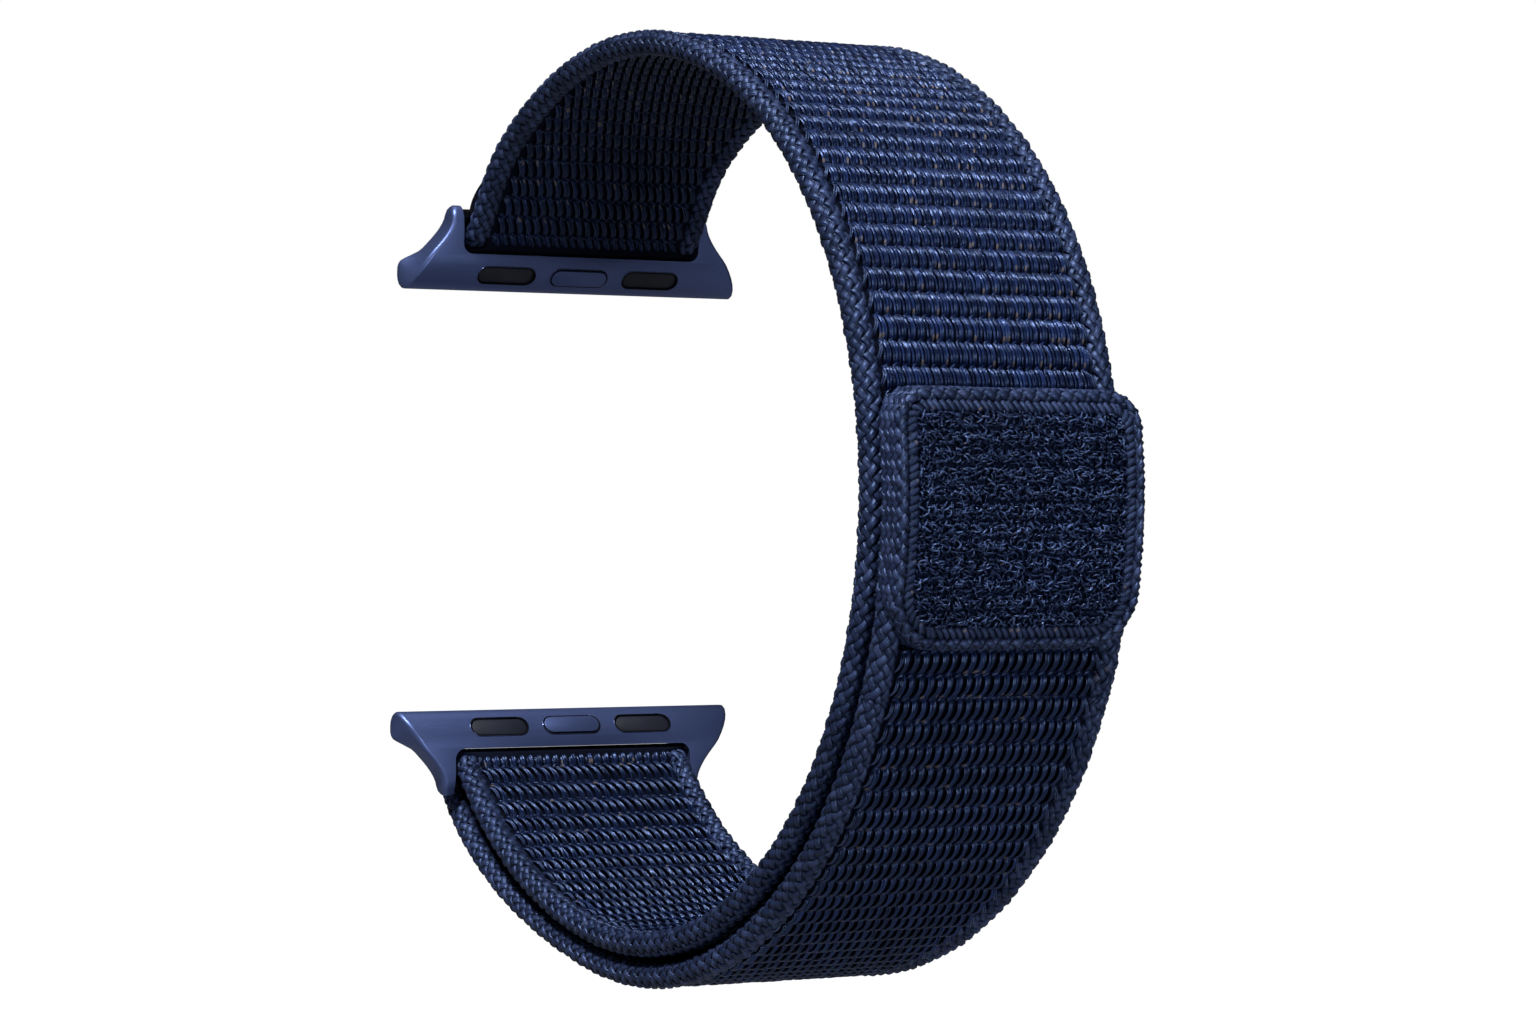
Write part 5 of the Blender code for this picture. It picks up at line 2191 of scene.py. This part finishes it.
@dataclass
class Strap:
    """The whole strap's soft pieces, built over the frame and put on its bodies."""

    finishes: Finishes
    sizes: BandSizes = field(default_factory=BandSizes)
    leans: Leans = field(default_factory=Leans)
    yarn: RowYarn = field(default_factory=RowYarn)
    stitch: EdgeStitch = field(default_factory=EdgeStitch)
    ground: Ground = field(default_factory=Ground)
    web_gap: float = 2.0 * MM
    rows_a_piece: int = 32
    under_tab: float = 3.4 * MM
    lower_wall: float = 0.29
    upper_wall: float = 0.70
    upper_spread: float = 0.3 * MM
    upper_steps: int = 500
    width_steps: int = 50

    def __post_init__(self) -> None:
        """Finds the loop's middle from the lower bar, and lays out the band's route."""
        low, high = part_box("lower_bar")
        bar = np.array([(low[0] + high[0]) / 2, (low[2] + high[2]) / 2])
        loop = Loop(self.sizes, np.zeros(2))
        local = loop.point(np.array(self.sizes.lower_bar), self.sizes.end_spread + self.sizes.fold_radius)
        self.centre = bar - local
        self.route = Route(self.sizes, self.leans, self.centre)
        self.cords = EdgeCords(self.sizes)

    def faces(self, name: str, lane: Lane, width: np.ndarray, lean: float, seed: int) -> list[bpy.types.Object]:
        """Makes the yarn of one face, in lengths that a mesh can hold.

        Args:
            name: the pieces' name.
            lane: the face.
            width: half the band's width at even steps of the lane.
            lean: how far its strands lean.
            seed: the number that its chances start from.

        Returns:
            The pieces.
        """
        parts = math.ceil(self.yarn.rows(lane) / self.rows_a_piece)
        made = []
        for part in range(parts):
            tubes = Tubes(f"{name}_{part + 1}" if parts > 1 else name)
            span = (part / parts, (part + 1) / parts)
            self.yarn.lay(tubes, lane, width - self.web_gap, lean, seed, span)
            self.yarn.cross(tubes, lane, width - self.web_gap, seed + 1, span)
            made.append(finished(tubes.build(), self.finishes.yarn, "navy_weave"))
        return made

    def edge_cords(self, name: str, lane: Lane, width: np.ndarray, seed: int) -> list[bpy.types.Object]:
        """Makes a strip's two cords, which stand for their solids.

        Args:
            name: the strip's name.
            lane: the cords' middle line.
            width: half the band's width at even steps of the lane.
            seed: the number that their chances start from.

        Returns:
            The two cords.
        """
        made = []
        for edge in Edge:
            side = edge.name.lower()
            cord = self.cords.make(f"{name}_braid_{side}", lane, width, edge, seed + edge.value)
            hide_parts(f"{name}_cord_{side}")
            made.append(finished(cord, self.finishes.cord, "navy_cord"))
        return made

    def strip(
        self,
        strip: Strip,
        seed: int,
        carrier: str | tuple[str, str],
        inner: bool = True,
        cord_strip: Strip | None = None,
        wall: float | None = None,
    ) -> None:
        """carrier: the body it rides on, or two bodies, in which case the pieces stay where they are on no body.
            inner: whether its inner face has yarn.
            cord_strip: the strip that its cords follow, if they run on further.
            wall: where a slot's wall lies on its outer face, as a share.
        """
        base = self.ground.weave(f"{strip.name}_ground", strip, self.yarn, self.web_gap, wall)
        made = [finished(base, self.finishes.ground, "navy_weave")]
        sides = [("outer", strip.outer, strip.lean), ("inner", strip.inner, strip.inner_lean)]
        for n, (side, lane, lean) in enumerate(sides if inner else sides[:1]):
            made += self.faces(f"{strip.name}_yarn_{side}", lane, strip.half_width, lean, seed + 10 * n)
            sewn = Tubes(f"{strip.name}_stitches_{side}")
            self.stitch.sew(sewn, strip, lane, self.yarn, self.web_gap, seed + 10 * n + 5)
            made.append(finished(sewn.build(), self.finishes.stitch, "navy_weave"))
        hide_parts(f"{strip.name}_web")
        cords = cord_strip or strip
        made += self.edge_cords(strip.name, cords.middle, cords.half_width, seed + 30)
        for piece in made:
            if isinstance(carrier, str):
                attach(piece, carrier)
            else:
                start, end = strip.middle.ends()
                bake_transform(piece)
                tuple(start)
                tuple(end)
        LOG.info("%s: %d pieces", strip.name, len(made))

    def band(self) -> None:
        """Makes every strip of the band."""
        sizes, route, leans = self.sizes, self.route, self.leans
        inner, outer = Layer.INNER, Layer.OUTER
        flex = route.plain("flex", sizes.flex_end, sizes.flex_start, inner, leans.flex, leans.flex_inner)
        main_part = route.plain("main", sizes.lower_bar, sizes.flex_end, inner, leans.main, leans.inner)
        tail = route.plain("tail", sizes.lower_bar, route.bend, outer, leans.tail, leans.inner)
        tab_flex = route.plain("tab_flex", route.bend, route.tab_edge, outer, leans.tail, leans.inner)
        under_tab = route.loop.after(route.tab_edge, self.under_tab, sizes.layer_step)
        under = route.plain("under", route.bend, under_tab, outer, leans.tail, leans.inner)
        self.strip(flex, Seed.FLEX, ("band", "upper_arm"))
        self.strip(main_part, Seed.MAIN, "band")
        self.strip(route.fold(), Seed.FOLD, ("band", "tail"), inner=False, wall=self.lower_wall)
        self.strip(tail, Seed.TAIL, "tail")
        self.strip(tab_flex, Seed.TAB_FLEX, ("tail", "tab"), cord_strip=under)

    def upper_end(self) -> None:
        """Makes the upper end, whose faces run round the bar as one."""
        outer, eye, inner = self.route.upper()
        around = outer.joined(eye).joined(inner)
        width = np.full(self.width_steps, self.sizes.half_width)
        made = self.faces("upper_yarn_outer", outer.joined(eye), width, self.leans.upper, Seed.UPPER)
        made += self.faces("upper_yarn_inner", inner.turned(), width, self.leans.upper_inner, Seed.UPPER + 20)
        along = np.linspace(0.0, around.length, self.upper_steps)
        fill = self.ground.fill(along, outer.length + self.upper_wall * eye.length)
        height = self.ground.fill_rise * fill - self.ground.sink * (1 - fill)
        half = self.sizes.half_width - self.web_gap + self.upper_spread
        half = np.maximum(half, self.ground.fill_half_width * fill)
        sides = [around.place(along, side * half, height) for side in (-1, 1)]
        # The ground round the eye is near-black: painted shade for the gaps between the strands and the strip beside
        # the slot's wall.
        ground = plate("upper_ground", np.stack(sides, axis=0))
        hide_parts("upper_web")
        made.append(finished(ground, self.finishes.ground, "navy_weave"))
        made += self.edge_cords("upper", self.route.upper_cord(), width, Seed.UPPER_CORDS)
        for piece in made:
            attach(piece, "upper_arm")
        LOG.info("upper end: %d pieces", len(made))

    def tab(self) -> None:
        """Makes the fastening tab."""
        tab = Tab(self.sizes, TabPlace(self.route.loop, self.sizes.tab_middle))
        rim = finished(tab.rim("tab_rim"), self.finishes.cord, "navy_cord")
        stitches = finished(tab.stitches("tab_stitches"), self.finishes.cord, "navy_cord")
        back = tab.slab("tab_back", tab.loops.inset - tab.back_spread, tab.back_low, tab.loops.level)
        finished(back, self.finishes.pile_ground, "navy_tab")
        pile = finished(tab.pile("tab_pile"), self.finishes.pile, "navy_tab")
        tape = tab.slab("tab_hook_tape", tab.inner_inset, tab.hook.level, tab.tape_high)
        finished(tape, self.finishes.hook, "hook_plastic")
        hooks = finished(tab.hooks("tab_hooks"), self.finishes.hook, "hook_plastic")
        filling = tab.slab("tab_filling", tab.inner_inset, tab.filling_low, tab.filling_high)
        finished(filling, self.finishes.ground, "navy_weave")
        for piece, node in ((rim, "tab_binding"), (back, "tab_cover"), (tape, "hook_pad"), (filling, "tab_web_end")):
            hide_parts(node)
        made = (rim, stitches, back, pile, tape, hooks, filling)
        for piece in made:
            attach(piece, "tab")
        LOG.info("tab: %d pieces", len(made))


def main() -> None:
    """Builds the studio and the strap."""
    logging.basicConfig(level=logging.INFO, format="%(name)s: %(message)s")
    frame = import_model()
    solid_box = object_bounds()
    finishes = Finishes.all()
    strap = Strap(finishes)
    studio = Studio()
    studio.camera(Vector((strap.centre[0], 0.0, strap.centre[1])))
    studio.floor(float(solid_box[0][2]))
    studio.lights()
    strap.band()
    strap.upper_end()
    strap.tab()
    Lugs(frame, finishes).dress()
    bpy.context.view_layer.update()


if __name__ == "__main__":
    main()
